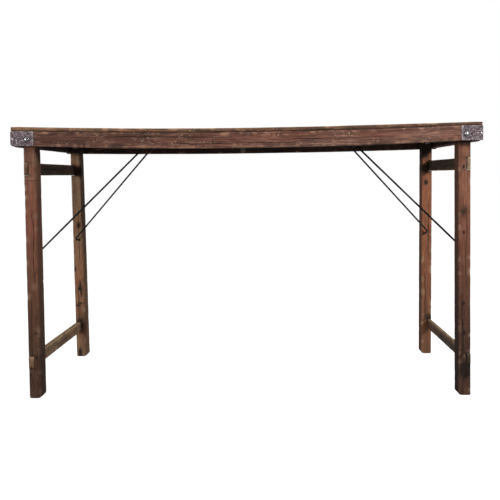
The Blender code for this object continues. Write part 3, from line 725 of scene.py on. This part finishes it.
def make_aprons():
    """Front and back boards of the frame; the front one's lower edge is worn at its ends."""
    for face, sign in FACES.items():
        node = f"apron_{face}"
        low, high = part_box(node)
        outer = 1 if sign < 0 else 3

        def section(x, low=low, high=high, face=face):
            corner = 0.0035 * np.clip(1 - (x + HALF_LENGTH) / 0.014, 0, 1) ** 2
            wane = 0.0004 * (1 + line_noise(x, 0.16, 5)) + end_wear(x)
            bottom = APRON_BOTTOM - APRON_EXTRA[face] + (corner + wane) * (face == "front")
            return low.y, high.y, bottom, APRON_TOP

        edges = (0.0012, 0.0012, 0.0036, 0.0020) if sign < 0 else (0.0012, 0.0012, 0.002, 0.003)
        cracks = [(outer, 0.30, -0.42, -0.10, 0.0014), (outer, 0.52, 0.12, 0.40, 0.0010),
                  (outer, 0.76, -0.20, 0.16, 0.0010)]
        marks = [("red", (0.10, sign * HALF_DEPTH, 0.755), (0.20, 0.01, 0.02), 0.35),
                 ("red", (0.38, sign * HALF_DEPTH, 0.760), (0.14, 0.01, 0.02), 0.55),
                 ("red", (-0.40, sign * HALF_DEPTH, 0.765), (0.10, 0.01, 0.010), 0.35),
                 ("dark", (-0.28, sign * HALF_DEPTH, 0.770), (0.16, 0.01, 0.012), 0.35)]
        for x, z, length in APRON_SCRATCHES:
            marks.append(("rub", (x, sign * HALF_DEPTH, z), (length, 0.01, 0.0026), 0.55))
        # Painted shade: the apron's inner side is darkened most, and its underside a little.
        grime_and_shade = [0.0, 0.0, 0.25, 0.0]
        grime_and_shade[4 - outer] = 0.62
        mesh = carved_bar(node, (low.x, high.x), section, laid(ALONG_X, sagging=True), 30 + sign,
                          edges, step=0.003, spacing=0.0032, end_round=0.0022, rough=0.0006, nicks=34,
                          nick_depth=0.0030, cracks=cracks, marks=marks, grime_and_shade=grime_and_shade,
                          pale_edges=(0.1, 0.45, 0.8, 0.1) if sign < 0 else (0.45, 0.1, 0.1, 0.8),
                          edge_width=0.0022)
        put(mesh, node, APRON_WOOD)


def make_end_boards():
    """Boards across the frame's two ends."""
    for side, sign in SIDES.items():
        node = f"end_board_{side}"
        low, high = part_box(node)
        edges = (0.0015, 0.0015, 0.0055, 0.002) if sign < 0 else (0.0015, 0.0015, 0.002, 0.0035)
        outer = 1 if sign < 0 else 3
        # Painted shade: the end board's inner side is darkened most, and its underside a little.
        grime_and_shade = [0.0, 0.0, 0.3, 0.0]
        grime_and_shade[4 - outer] = 0.9
        mesh = carved_bar(node, (low.y, high.y), steady(low.x, high.x, low.z, high.z),
                          laid(ALONG_Y), 40 + sign, edges, step=0.004, spacing=0.004, rough=0.0006, nicks=18,
                          nick_depth=0.0026, cracks=[(outer, 0.35, -0.25, 0.05, 0.0014),
                                                     (outer, 0.70, 0.02, 0.30, 0.0012)],
                          grime_and_shade=grime_and_shade, pale_edges=(0.6, 0.6, 0.8, 0.8))
        put(mesh, node, APRON_WOOD)


def make_battens():
    """Cross battens under the planks, which bend with the sag across their width."""
    for side in SIDES:
        node = f"under_batten_{side}"
        low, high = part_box(node)
        top = APRON_TOP - UNDER_GAP
        # Painted shade: the battens take the near-black wood and are darkened on every side.
        mesh = carved_bar(node, (low.y, high.y),
                          steady(low.x, high.x, top - BATTEN_THICKNESS, top),
                          laid(ALONG_Y, sagging=True), 44 + SIDES[side],
                          (0.001, 0.001, 0.0018, 0.0018), step=0.005,
                          spacing=0.004, nicks=10, grime_and_shade=(0.6, 0.3, 0.35, 0.3),
                          pale_edges=(0, 0, 0.6, 0.6))
        put(mesh, node, HIDDEN_WOOD)
    low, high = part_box("centre_cleat")
    mesh = carved_bar("centre_cleat", (low.x, high.x),
                      steady(low.y, high.y, APRON_BOTTOM, APRON_TOP - UNDER_GAP),
                      laid(ALONG_X, sagging=True), 48, (0.0004,) * 4, step=0.002,
                      spacing=0.003, end_round=0.0005, rough=0.0001,
                      nicks=2, nick_depth=0.0004, grime_and_shade=(0.5, 0.1, 0.0, 0.1))
    put(mesh, "centre_cleat", PALE_WOOD)


# ---------------------------------------------------------------- iron of the top
def make_strap(face, side):
    """Hammered flat iron bent round a corner of the frame. Its path runs in along the apron,
    round the corner on a small arc, and in along the end board."""
    node = f"corner_strap_{face}_{side}"
    low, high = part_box(node)
    seed = 60 + 3 * SIDES[side] + FACES[face]
    arm = high.x - low.x - STRAP_THICKNESS
    end_arm = high.y - low.y - STRAP_THICKNESS
    bend = 0.0012
    turn = bend * math.pi / 2
    corner_x, corner_y = HALF_LENGTH + STRAP_GAP, HALF_DEPTH + STRAP_GAP
    cut = 0.005

    def place(local):
        """Along is 0 at the middle of the arc and positive along the end board."""
        along, out, up = np.moveaxis(local, -1, 0)
        angle = np.clip((along + turn / 2) / bend, 0, math.pi / 2)
        straight_x = np.maximum(-(along + turn / 2), 0)
        straight_y = np.maximum(along - turn / 2, 0)
        radius = bend + out
        x = corner_x - bend - straight_x + radius * np.sin(angle)
        y = corner_y - bend - straight_y + radius * np.cos(angle)
        return np.stack([SIDES[side] * x, FACES[face] * y, up], axis=-1)

    start, stop = -(arm - bend) - turn / 2, (end_arm - bend) + turn / 2

    def section(along):
        from_end = np.minimum(np.minimum(along - start, stop - along), cut)
        round_off = cut - np.sqrt(np.maximum(cut ** 2 - (cut - from_end) ** 2, 0))
        ragged = 0.0004 * (1 + line_noise(along, 0.011, seed))
        worn_corner = 0.003 * np.exp(-(along / 0.012) ** 2) * (side == "left" and face == "front")
        lift = 0.0020 * (face == "front")
        return (0.0, STRAP_THICKNESS, low.z + 0.8 * round_off + ragged + worn_corner + lift,
                high.z - 0.8 * round_off - ragged)

    mesh = carved_bar(node, (start, stop), section, place, seed, (0.0005,) * 4, step=0.0018,
                      spacing=0.0022, end_round=0.0006, rough=0.00035, nicks=12,
                      nick_depth=0.0006, pale_edges=(0.35, 0.35, 0.35, 0.35), edge_width=0.0012,
                      # The dark mark round the pivot bolt is a painted shadow of its head.
                      marks=[("dark", (SIDES[side] * HINGE_X, FACES[face] * (HALF_DEPTH + 0.002),
                                       HINGE_Z), (0.0115, 0.01, 0.0115), 0.8),
                             ("rub", (SIDES[side] * (corner_x - arm), FACES[face] * HALF_DEPTH,
                                      HINGE_Z), (0.0035, 0.01, 0.03), 0.7)])
    put(mesh, node, STRAP_IRON)


def dome(radius, height):
    """Profile of a domed head, from its crown to its rim and in under it."""
    sphere = (radius ** 2 + height ** 2) / (2 * height)
    reach = radius * np.sin(np.linspace(0.06, math.pi / 2, 7))
    crown = height - sphere + np.sqrt(sphere ** 2 - reach ** 2)
    return [(r, h) for r, h in zip(reach, np.maximum(crown, height * 0.12))] + [(radius, 0.0)]


def make_pin(node, finish, seed, shank_radius, head_height, uneven=0.05):
    """A domed, hammered head and its shank, on the line of its node's box."""
    low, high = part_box(node)
    size = high - low
    axis = int(np.argmax([size.x, size.y, size.z]))
    middle = np.array((low + high) / 2)
    direction = np.zeros(3)
    direction[axis] = math.copysign(1, middle[axis])
    head_radius = sorted(size)[1] / 2
    top = high[axis] if middle[axis] > 0 else low[axis]
    seat = middle.copy()
    seat[axis] = top - direction[axis] * head_height
    length = size[axis] - head_height
    profile = dome(head_radius, head_height)
    profile += [(shank_radius, 0.0), (shank_radius, -length + PIN_TIP),
                (shank_radius * 0.7, -length)]
    put(turned(node, profile, seat, direction, uneven=uneven, seed=seed), node, finish)


def make_square_nut(face, side):
    """A square nut with its corners taken off, sitting a little turned on its bolt."""
    node = f"pivot_nut_{face}_{side}"
    low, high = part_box(node)
    angle = math.radians(7 * SIDES[side] * FACES[face])
    half = (high.x - low.x) / 2 / (abs(math.cos(angle)) + abs(math.sin(angle)))
    centre = np.array((low + high) / 2)

    def place(local):
        y, x, z = np.moveaxis(local, -1, 0)
        return np.stack([centre[0] + x * math.cos(angle) - z * math.sin(angle), y,
                         centre[2] + x * math.sin(angle) + z * math.cos(angle)], axis=-1)

    mesh = carved_bar(node, (low.y, high.y), steady(-half, half, -half, half), place,
                      80 + SIDES[side] + 3 * FACES[face], (0.0012,) * 4, step=0.0015,
                      spacing=0.002, end_round=0.0009, rough=0.0002, nicks=2,
                      nick_depth=0.0008, edge_width=0.001)
    put(mesh, node, STRAP_IRON)


def make_washer(face, side):
    """A flat ring between a leg and its apron."""
    node = f"pivot_washer_{face}_{side}"
    low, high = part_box(node)
    half = (high.y - low.y) / 2
    outer, inner = (high.x - low.x) / 2, PIVOT_RADIUS + RUNNING_GAP
    cut = 0.0004
    ring = [(inner, half), (outer - cut, half), (outer, half - cut), (outer, -half + cut),
            (outer - cut, -half), (inner, -half), (inner, half)]
    mesh = turned(node, ring, (low + high) / 2, (0, 1, 0), seed=90 + SIDES[side] + FACES[face])
    put(open_ring(mesh), node, STRAP_IRON)


def open_ring(mesh):
    """A turned ring whose last turn meets its first, without the fans that would fill its hole."""
    shape = bmesh.new()
    shape.from_mesh(mesh)
    bmesh.ops.delete(shape, geom=list(shape.verts)[-2:], context="VERTS")
    bmesh.ops.remove_doubles(shape, verts=shape.verts, dist=0.00001)
    bmesh.ops.recalc_face_normals(shape, faces=shape.faces)
    shape.to_mesh(mesh)
    shape.free()
    mesh.set_sharp_from_angle(angle=math.radians(50))
    return mesh


def make_staple(face, side):
    """A U of wire: down one prong, round under the rod and up the other."""
    node = f"rod_staple_{face}_{side}"
    low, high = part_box(node)
    wire = (high.y - low.y) / 2
    centre = (low + high) / 2
    radius = (high.x - low.x) / 2 - wire
    bottom = low.z + wire + radius
    angles = np.linspace(math.pi, 2 * math.pi, 15)
    bend = np.stack([radius * np.cos(angles), radius * np.sin(angles)], axis=-1)
    x = np.concatenate([[-radius, -radius], bend[:, 0], [radius, radius]]) + centre.x
    z = np.concatenate([[high.z - bottom, (high.z - bottom) / 2], bend[:, 1],
                        [(high.z - bottom) / 2, high.z - bottom]]) + bottom
    path = np.stack([x, np.full_like(x, centre.y), z], axis=-1)
    put(bent_bar(node, path, wire, 12, 95), node, STRAP_IRON)


def make_board_nails():
    """Flat nail heads that hold the planks to the end boards and the battens."""
    node = "top_board_1"
    meshes = []
    for i in range(1, 6):
        low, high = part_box(f"top_board_{i}")
        for x in BOARD_NAIL_ROWS:
            for share in (0.2, 0.8):
                y = low.y + share * (high.y - low.y)
                place = (x + 0.002 * math.sin(37 * y), y,
                         BOARD_TOP - sag(x, y) - board_wear(x) - BOARD_NAIL_SEAT)
                profile = [(0.0004, 0.0014), (0.0022, 0.0013), (0.0034, 0.0009), (0.0037, 0.0)]
                meshes.append(turned("nail_head", profile, place, (0, 0, 1), 12, 0.06, 7 * i))
    shape = bmesh.new()
    for mesh in meshes:
        shape.from_mesh(mesh)
        bpy.data.meshes.remove(mesh)
    heads = bpy.data.meshes.new("board_nail_heads")
    shape.to_mesh(heads)
    shape.free()
    piece = put(heads, node, STRAP_IRON, "board_nail_heads")


# ---------------------------------------------------------------- trestles
# Knots, burns, stains, rubbed places and painted shadows on the legs' front sides, as (layer, x from the
# leg's middle, z, radii, amount).
LEG_MARKS = {
    ("front", "left"): [
        ("rub", 0, 0.645, (0.016, 0.03, 0.0022), 0.7),
        ("dark", 0, 0.641, (0.017, 0.03, 0.0016), 0.6),
        ("rub", 0.005, 0.330, (0.009, 0.02, 0.010), 0.55),
        ("dark", 0.004, 0.192, (0.004, 0.01, 0.005), 0.9),
        ("rub", 0.012, 0.720, (0.003, 0.01, 0.020), 0.6),
        ("red", 0, 0.520, (0.030, 0.04, 0.090), 0.5),
        ("red", 0, 0.400, (0.030, 0.06, 0.300), 0.35),
        ("dark", -0.014, 0.072, (0.0030, 0.02, 0.0050), 1.5),
        ("dark", 0, 0.060, (0.040, 0.08, 0.100), 0.22)],
    ("front", "right"): [
        # Painted shadow of the apron and its strap across the top of the leg.
        ("dark", 0, 0.738, (0.030, 0.03, 0.009), 1.0),
        ("dark", -0.002, 0.665, (0.0030, 0.01, 0.0040), 1.8),
        ("dark", -0.002, 0.476, (0.0030, 0.01, 0.0040), 1.8),
        ("dark", -0.003, 0.269, (0.0030, 0.01, 0.0040), 1.8),
        ("dark", -0.001, 0.184, (0.0030, 0.01, 0.0060), 1.8),
        ("dark", -0.003, 0.536, (0.0105, 0.02, 0.015), 0.90),
        ("rub", -0.004, 0.540, (0.0040, 0.02, 0.006), 0.80),
        ("dark", 0.003, 0.073, (0.014, 0.03, 0.020), 1.5),
        ("rub", 0.014, 0.104, (0.005, 0.02, 0.010), 0.4),
        ("red", 0, 0.420, (0.030, 0.06, 0.300), 0.60),
        ("dark", 0, 0.130, (0.060, 0.10, 0.220), 0.42)],
    ("back", "left"): [
        # Painted shade on the top of the leg, under the table top.
        ("dark", 0, 0.752, (0.040, 0.05, 0.022), 1.6),
        # Painted shadow of the upper stretcher, cast to its right.
        ("dark", 0.010, 0.668, (0.018, 0.03, 0.014), 1.6),
        ("dark", 0.006, 0.476, (0.0050, 0.02, 0.0085), 2.0),
        ("rub", 0.012, 0.428, (0.006, 0.02, 0.011), 0.6),
        ("dark", -0.010, 0.318, (0.0040, 0.02, 0.0075), 2.0),
        ("dark", 0.007, 0.258, (0.0030, 0.02, 0.015), 1.9),
        ("dark", 0.011, 0.236, (0.0030, 0.02, 0.015), 1.9),
        ("dark", 0.002, 0.246, (0.0034, 0.02, 0.0055), 1.7),
        ("dark", -0.002, 0.186, (0.0090, 0.02, 0.0026), 1.5),
        ("dark", 0.008, 0.194, (0.0090, 0.02, 0.0026), 1.5),
        ("dark", 0.010, 0.110, (0.0150, 0.02, 0.026), 0.9),
        ("dark", 0.004, 0.128, (0.0100, 0.02, 0.013), 0.9),
        ("dark", 0.002, 0.012, (0.0056, 0.02, 0.015), 2.0)],
    ("back", "right"): [
        # Painted shade on the top of the leg, under the table top.
        ("dark", 0, 0.752, (0.040, 0.05, 0.034), 1.5),
        # Painted shadows of the end board and of the upper stretcher, cast down to the left.
        ("dark", -0.012, 0.715, (0.014, 0.05, 0.016), 1.2),
        ("dark", -0.004, 0.665, (0.018, 0.05, 0.016), 1.4),
        ("dark", -0.004, 0.615, (0.0064, 0.02, 0.0090), 1.5),
        ("rub", -0.004, 0.610, (0.0030, 0.02, 0.0040), 0.9),
        ("red", -0.004, 0.450, (0.060, 0.10, 0.500), 1.05),
        ("dark", 0, 0.300, (0.060, 0.10, 0.300), 0.20),
        ("dark", 0.004, 0.130, (0.0120, 0.02, 0.016), 1.0)],
}


def peg_hole(face, side):
    """Middle of the mouth of a leg's peg hole."""
    y = FACES[face] * (LEG_MIDDLE_Y - LEG_HALF_DEPTH)
    z = ROD_HOLE_HEIGHT[face][side]
    return SIDES[side] * (HINGE_X - ROD_HOLE_INWARD[side]) + lean(side, y, z), y, z


def make_leg(face, side):
    """A leg: round at the top about its pivot, worn round at the foot, and notched on its outer
    side for the two stretchers."""
    node = f"leg_{face}_{side}"
    low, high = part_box(node)
    sign = SIDES[side]
    top = HINGE_Z + LEG_HALF_WIDTH
    notches = []
    for level in ("upper", "lower"):
        stretcher_low, stretcher_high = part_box(f"{level}_stretcher_{side}")
        notches.append((stretcher_low.z - NOTCH_GAP, stretcher_high.z + NOTCH_GAP,
                        STRETCHER_THICKNESS[level][side] + NOTCH_GAP))

    def section(z):
        rise = np.clip((z - HINGE_Z) / LEG_HALF_WIDTH, 0, 0.9995)
        half = LEG_HALF_WIDTH * np.sqrt(1 - rise ** 2)
        inner = np.clip(FOOT_ROUND_INNER - z, 0, FOOT_ROUND_INNER)
        outer = np.clip(FOOT_ROUND_OUTER - z, 0, FOOT_ROUND_OUTER)
        inner_in = FOOT_ROUND_INNER - np.sqrt(FOOT_ROUND_INNER ** 2 - inner ** 2)
        outer_in = FOOT_ROUND_OUTER - np.sqrt(FOOT_ROUND_OUTER ** 2 - outer ** 2)
        for begin, end, deep in notches:
            outer_in = np.where((z > begin) & (z < end), deep, outer_in)
        low_x = sign * HINGE_X - half + (outer_in if sign < 0 else inner_in)
        high_x = sign * HINGE_X + half - (inner_in if sign < 0 else outer_in)
        return low_x, high_x, low.y, high.y

    stops = [z for begin, end, _ in notches
             for z in (begin, begin + NOTCH_STEP, end - NOTCH_STEP, end)]
    seed = 100 + 5 * sign + 2 * FACES[face]
    front_side = 2
    inner_side = 3 if sign < 0 else 1
    cracks = [(front_side, 0.32, 0.10, 0.30, 0.0012), (front_side, 0.66, 0.34, 0.56, 0.0010),
              (inner_side, 0.45, 0.20, 0.60, 0.0012), (4 - inner_side, 0.55, 0.16, 0.50, 0.0012)]
    # Painted shade: the leg's inner side is darkened, and its back side a little.
    grime_and_shade = [0.10, 0.0, 0.0, 0.0]
    grime_and_shade[inner_side] = 0.45
    front_y = FACES[face] * LEG_MIDDLE_Y - LEG_HALF_DEPTH
    marks = [(layer, (sign * HINGE_X + from_middle, front_y, z), size, amount)
             for layer, from_middle, z, size, amount in LEG_MARKS[face, side]]
    marks += [("dark", (sign * (HINGE_X + LEG_HALF_WIDTH), FACES[face] * LEG_MIDDLE_Y, z),
               (0.022, 0.06, 0.0030), 0.9)
              for begin, end, _ in notches for z in (begin, end)]
    mesh = carved_bar(node, (0.0, top), section, laid(ALONG_Z, leaning=side), seed,
                      (0.0024, 0.0024, 0.0030, 0.0030), step=0.0024, spacing=0.0027,
                      end_round=0.0010, rough=0.0006, nicks=16, nick_depth=0.0032, stops=stops,
                      cracks=cracks, marks=marks, grime_and_shade=grime_and_shade,
                      pale_edges=(0.10, 0.10, 0.12, 0.12), edge_width=0.0018)
    hole_x, hole_y, hole_z = peg_hole(face, side)
    lead = FACES[face] * HOLE_LEAD
    bottom_y = hole_y + FACES[face] * PEG_HOLE_DEPTH
    outer_y = FACES[face] * (LEG_MIDDLE_Y + LEG_HALF_DEPTH)
    holes = [((hole_x, hole_y - lead, hole_z), (hole_x, bottom_y, hole_z),
              ROD_RADIUS + RUNNING_GAP),
             ((sign * HINGE_X, hole_y - lead, HINGE_Z), (sign * HINGE_X, outer_y + lead, HINGE_Z),
              PIVOT_RADIUS + RUNNING_GAP)]
    put(drilled(mesh, holes), node, LEG_WOOD[face])


# How much painted shade darkens each stretcher's inner side, and the layer and strength at its front end's
# patch.
STRETCHER_INNER_SHADE = {"upper": {"left": 0.58, "right": 0.84}, "lower": {"left": 0.0, "right": 0.40}}
END_PATCH = {"upper": {"left": (("red", 1.0), ("dark", 0.30)), "right": (("rub", 0.6),)},
             "lower": {"left": (("red", 0.8), ("dark", 0.25)), "right": (("dark", 0.90),)}}


def make_stretcher(level, side):
    """A stretcher let into both legs, with a paler upper side, most on the lower stretchers."""
    node = f"{level}_stretcher_{side}"
    low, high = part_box(node)
    sign = SIDES[side]
    outer = sign * (HINGE_X + LEG_HALF_WIDTH)
    x_low, x_high = sorted((outer, outer - sign * STRETCHER_THICKNESS[level][side]))
    inner_side = 3 if sign < 0 else 1
    # Painted shade on the stretcher's underside and on its inner side.
    grime_and_shade = [0.0, 0.0, 0.3, 0.0]
    grime_and_shade[inner_side] = STRETCHER_INNER_SHADE[level][side]
    patch = (outer, low.y, (low.z + high.z) / 2)
    seed = 130 + 3 * sign + (7 if level == "upper" else 0)
    mesh = carved_bar(node, (low.y, high.y), steady(x_low, x_high, low.z, high.z),
                      laid(ALONG_Y, leaning=side), seed, (0.0016, 0.0016, 0.0014, 0.0014),
                      step=0.004, spacing=0.0032,
                      end_round=0.0012, rough=0.0005, nicks=14, nick_depth=0.0022,
                      cracks=[(inner_side, 0.55, -0.20, 0.12, 0.0010)],
                      pale_sides=(0.55 if level == "lower" else 0.1, 0, 0, 0), grime_and_shade=grime_and_shade,
                      pale_edges=(0.9, 0.9, 0.4, 0.4),
                      marks=[(layer, patch, (0.03, 0.008, 0.04), strength)
                             for layer, strength in END_PATCH[level][side]])
    put(mesh, node, STRETCHER_WOOD)


# ---------------------------------------------------------------- brace rods
def make_brace_rod(face, side):
    """A round bar from its staple down to a hook whose peg faces the hole in the leg."""
    pivot = np.array(JOINTS[f"rod_{face}_{side}_swing"]["pos_m"], float)
    out, sign = FACES[face], SIDES[side]
    tip = np.array(peg_hole(face, side)) - (0, out * PEG_END_GAP, 0)
    elbow = tip - np.array([0, out * ROD_PEG, 0])
    hook = elbow + np.array([sign * ROD_HOOK, 0, ROD_HOOK_DROP[side]])
    corners = [pivot - np.array([0, out * ROD_PIVOT_LENGTH, 0]), pivot, hook, elbow, tip]
    node = f"brace_rod_{face}_{side}"
    mesh = bent_bar(node, rounded_path(corners, ROD_BEND_RADIUS), ROD_RADIUS, 16,
                    150 + sign + 3 * out)
    put(mesh, node, ROD_IRON)


make_boards()
make_aprons()
make_end_boards()
make_battens()
make_board_nails()
for side in SIDES:
    for level in ("upper", "lower"):
        make_stretcher(level, side)
    for face in FACES:
        number = 10 * SIDES[side] + FACES[face]
        make_strap(face, side)
        make_pin(f"pivot_bolt_{face}_{side}", BOLT_IRON, 200 + number, PIVOT_RADIUS,
                 BOLT_HEAD_HEIGHT, 0.08)
        make_square_nut(face, side)
        make_washer(face, side)
        for where in ("side", "end"):
            make_pin(f"strap_nail_{face}_{side}_{where}", BOLT_IRON, 230 + number,
                     NAIL_RADIUS, NAIL_HEAD_HEIGHT)
        for level in ("upper", "lower"):
            make_pin(f"stretcher_nail_{level}_{face}_{side}", STRAP_IRON, 260 + number,
                     NAIL_RADIUS, NAIL_HEAD_HEIGHT)
        make_staple(face, side)
        make_leg(face, side)
        make_brace_rod(face, side)


# ---------------------------------------------------------------- floor, light and camera
def make_floor():
    """A pale floor, wide enough to reach the horizon, that keeps only a faint shadow."""
    mesh = bpy.data.meshes.new("floor")
    half = 30.0
    mesh.from_pydata([(-half, -half, 0), (half, -half, 0), (half, half, 0), (-half, half, 0)],
                     [], [(0, 1, 2, 3)])
    floor = linked("studio_floor", mesh)
    paint = Finish("pale_floor_paint")
    speckle = paint.noise(paint.add("ShaderNodeTexCoord", {}, "Object"), (6, 6, 6), 3.0)
    seen = paint.add("ShaderNodeLightPath", {}, "Is Camera Ray")
    paint.look(Base_Color=paint.colours(speckle, [(0.3, (0.36,) * 3), (0.7, (0.38,) * 3)]),
               Roughness=0.9, Specular_IOR_Level=0.0, Emission_Color=(1.0, 1.0, 1.0, 1.0),
               Emission_Strength=paint.between(seen, 0.0, 1.0, 0.0, 0.93))
    mesh.materials.append(paint.material)


def soft_lamp(name, place, target, size, power):
    """A square lamp at place that faces target."""
    data = bpy.data.lights.new(name, "AREA")
    data.size = size
    data.energy = power
    lamp = linked(name, data)
    lamp.location = place
    lamp.rotation_mode = "QUATERNION"
    lamp.rotation_quaternion = (Vector(place) - Vector(target)).to_track_quat("Z", "Y")


def make_world(shown, lit):
    """White surroundings: shown is what is seen behind the table, lit is the light they give."""
    world = bpy.data.worlds.new("studio")
    world.use_nodes = True
    nodes, links = world.node_tree.nodes, world.node_tree.links
    background = nodes["Background"]
    background.inputs["Color"].default_value = (1.0, 1.0, 1.0, 1.0)
    path = nodes.new("ShaderNodeLightPath")
    strength = nodes.new("ShaderNodeMapRange")
    strength.inputs["To Min"].default_value = lit
    strength.inputs["To Max"].default_value = shown
    links.new(path.outputs["Is Camera Ray"], strength.inputs["Value"])
    links.new(strength.outputs["Result"], background.inputs["Strength"])
    bpy.context.scene.world = world


def make_camera():
    """The eye is a little below the top and right of the middle, three metres in front. It is
    turned left by heading, down by drop, and about its own line of sight by roll."""
    heading, drop, roll = 0.0217, 0.0549, -0.0127
    data = bpy.data.cameras.new("camera")
    data.sensor_width = 36.0
    data.lens = 66.92
    data.shift_y = -0.0476
    data.clip_start = 0.05
    camera = linked("camera", data)
    camera.matrix_world = (Matrix.Translation((0.0675, -3.0393, 0.6485))
                           @ Matrix.Rotation(heading, 4, "Z")
                           @ Matrix.Rotation(math.pi / 2 - drop, 4, "X")
                           @ Matrix.Rotation(roll, 4, "Z"))
    bpy.context.scene.camera = camera


make_floor()
soft_lamp("front_left_lamp", (-2.9, -3.3, 1.05), (0.0, 0.0, 0.55), 0.6, 60)
soft_lamp("right_lamp", (2.6, -2.3, 1.75), (0.3, 0.0, 0.5), 0.5, 72)
soft_lamp("overhead_lamp", (0.0, 0.3, 4.0), (0.0, 0.0, 0.0), 3.0, 60)
make_world(1.0, 0.24)
make_camera()
bpy.context.scene.view_settings.view_transform = "Standard"
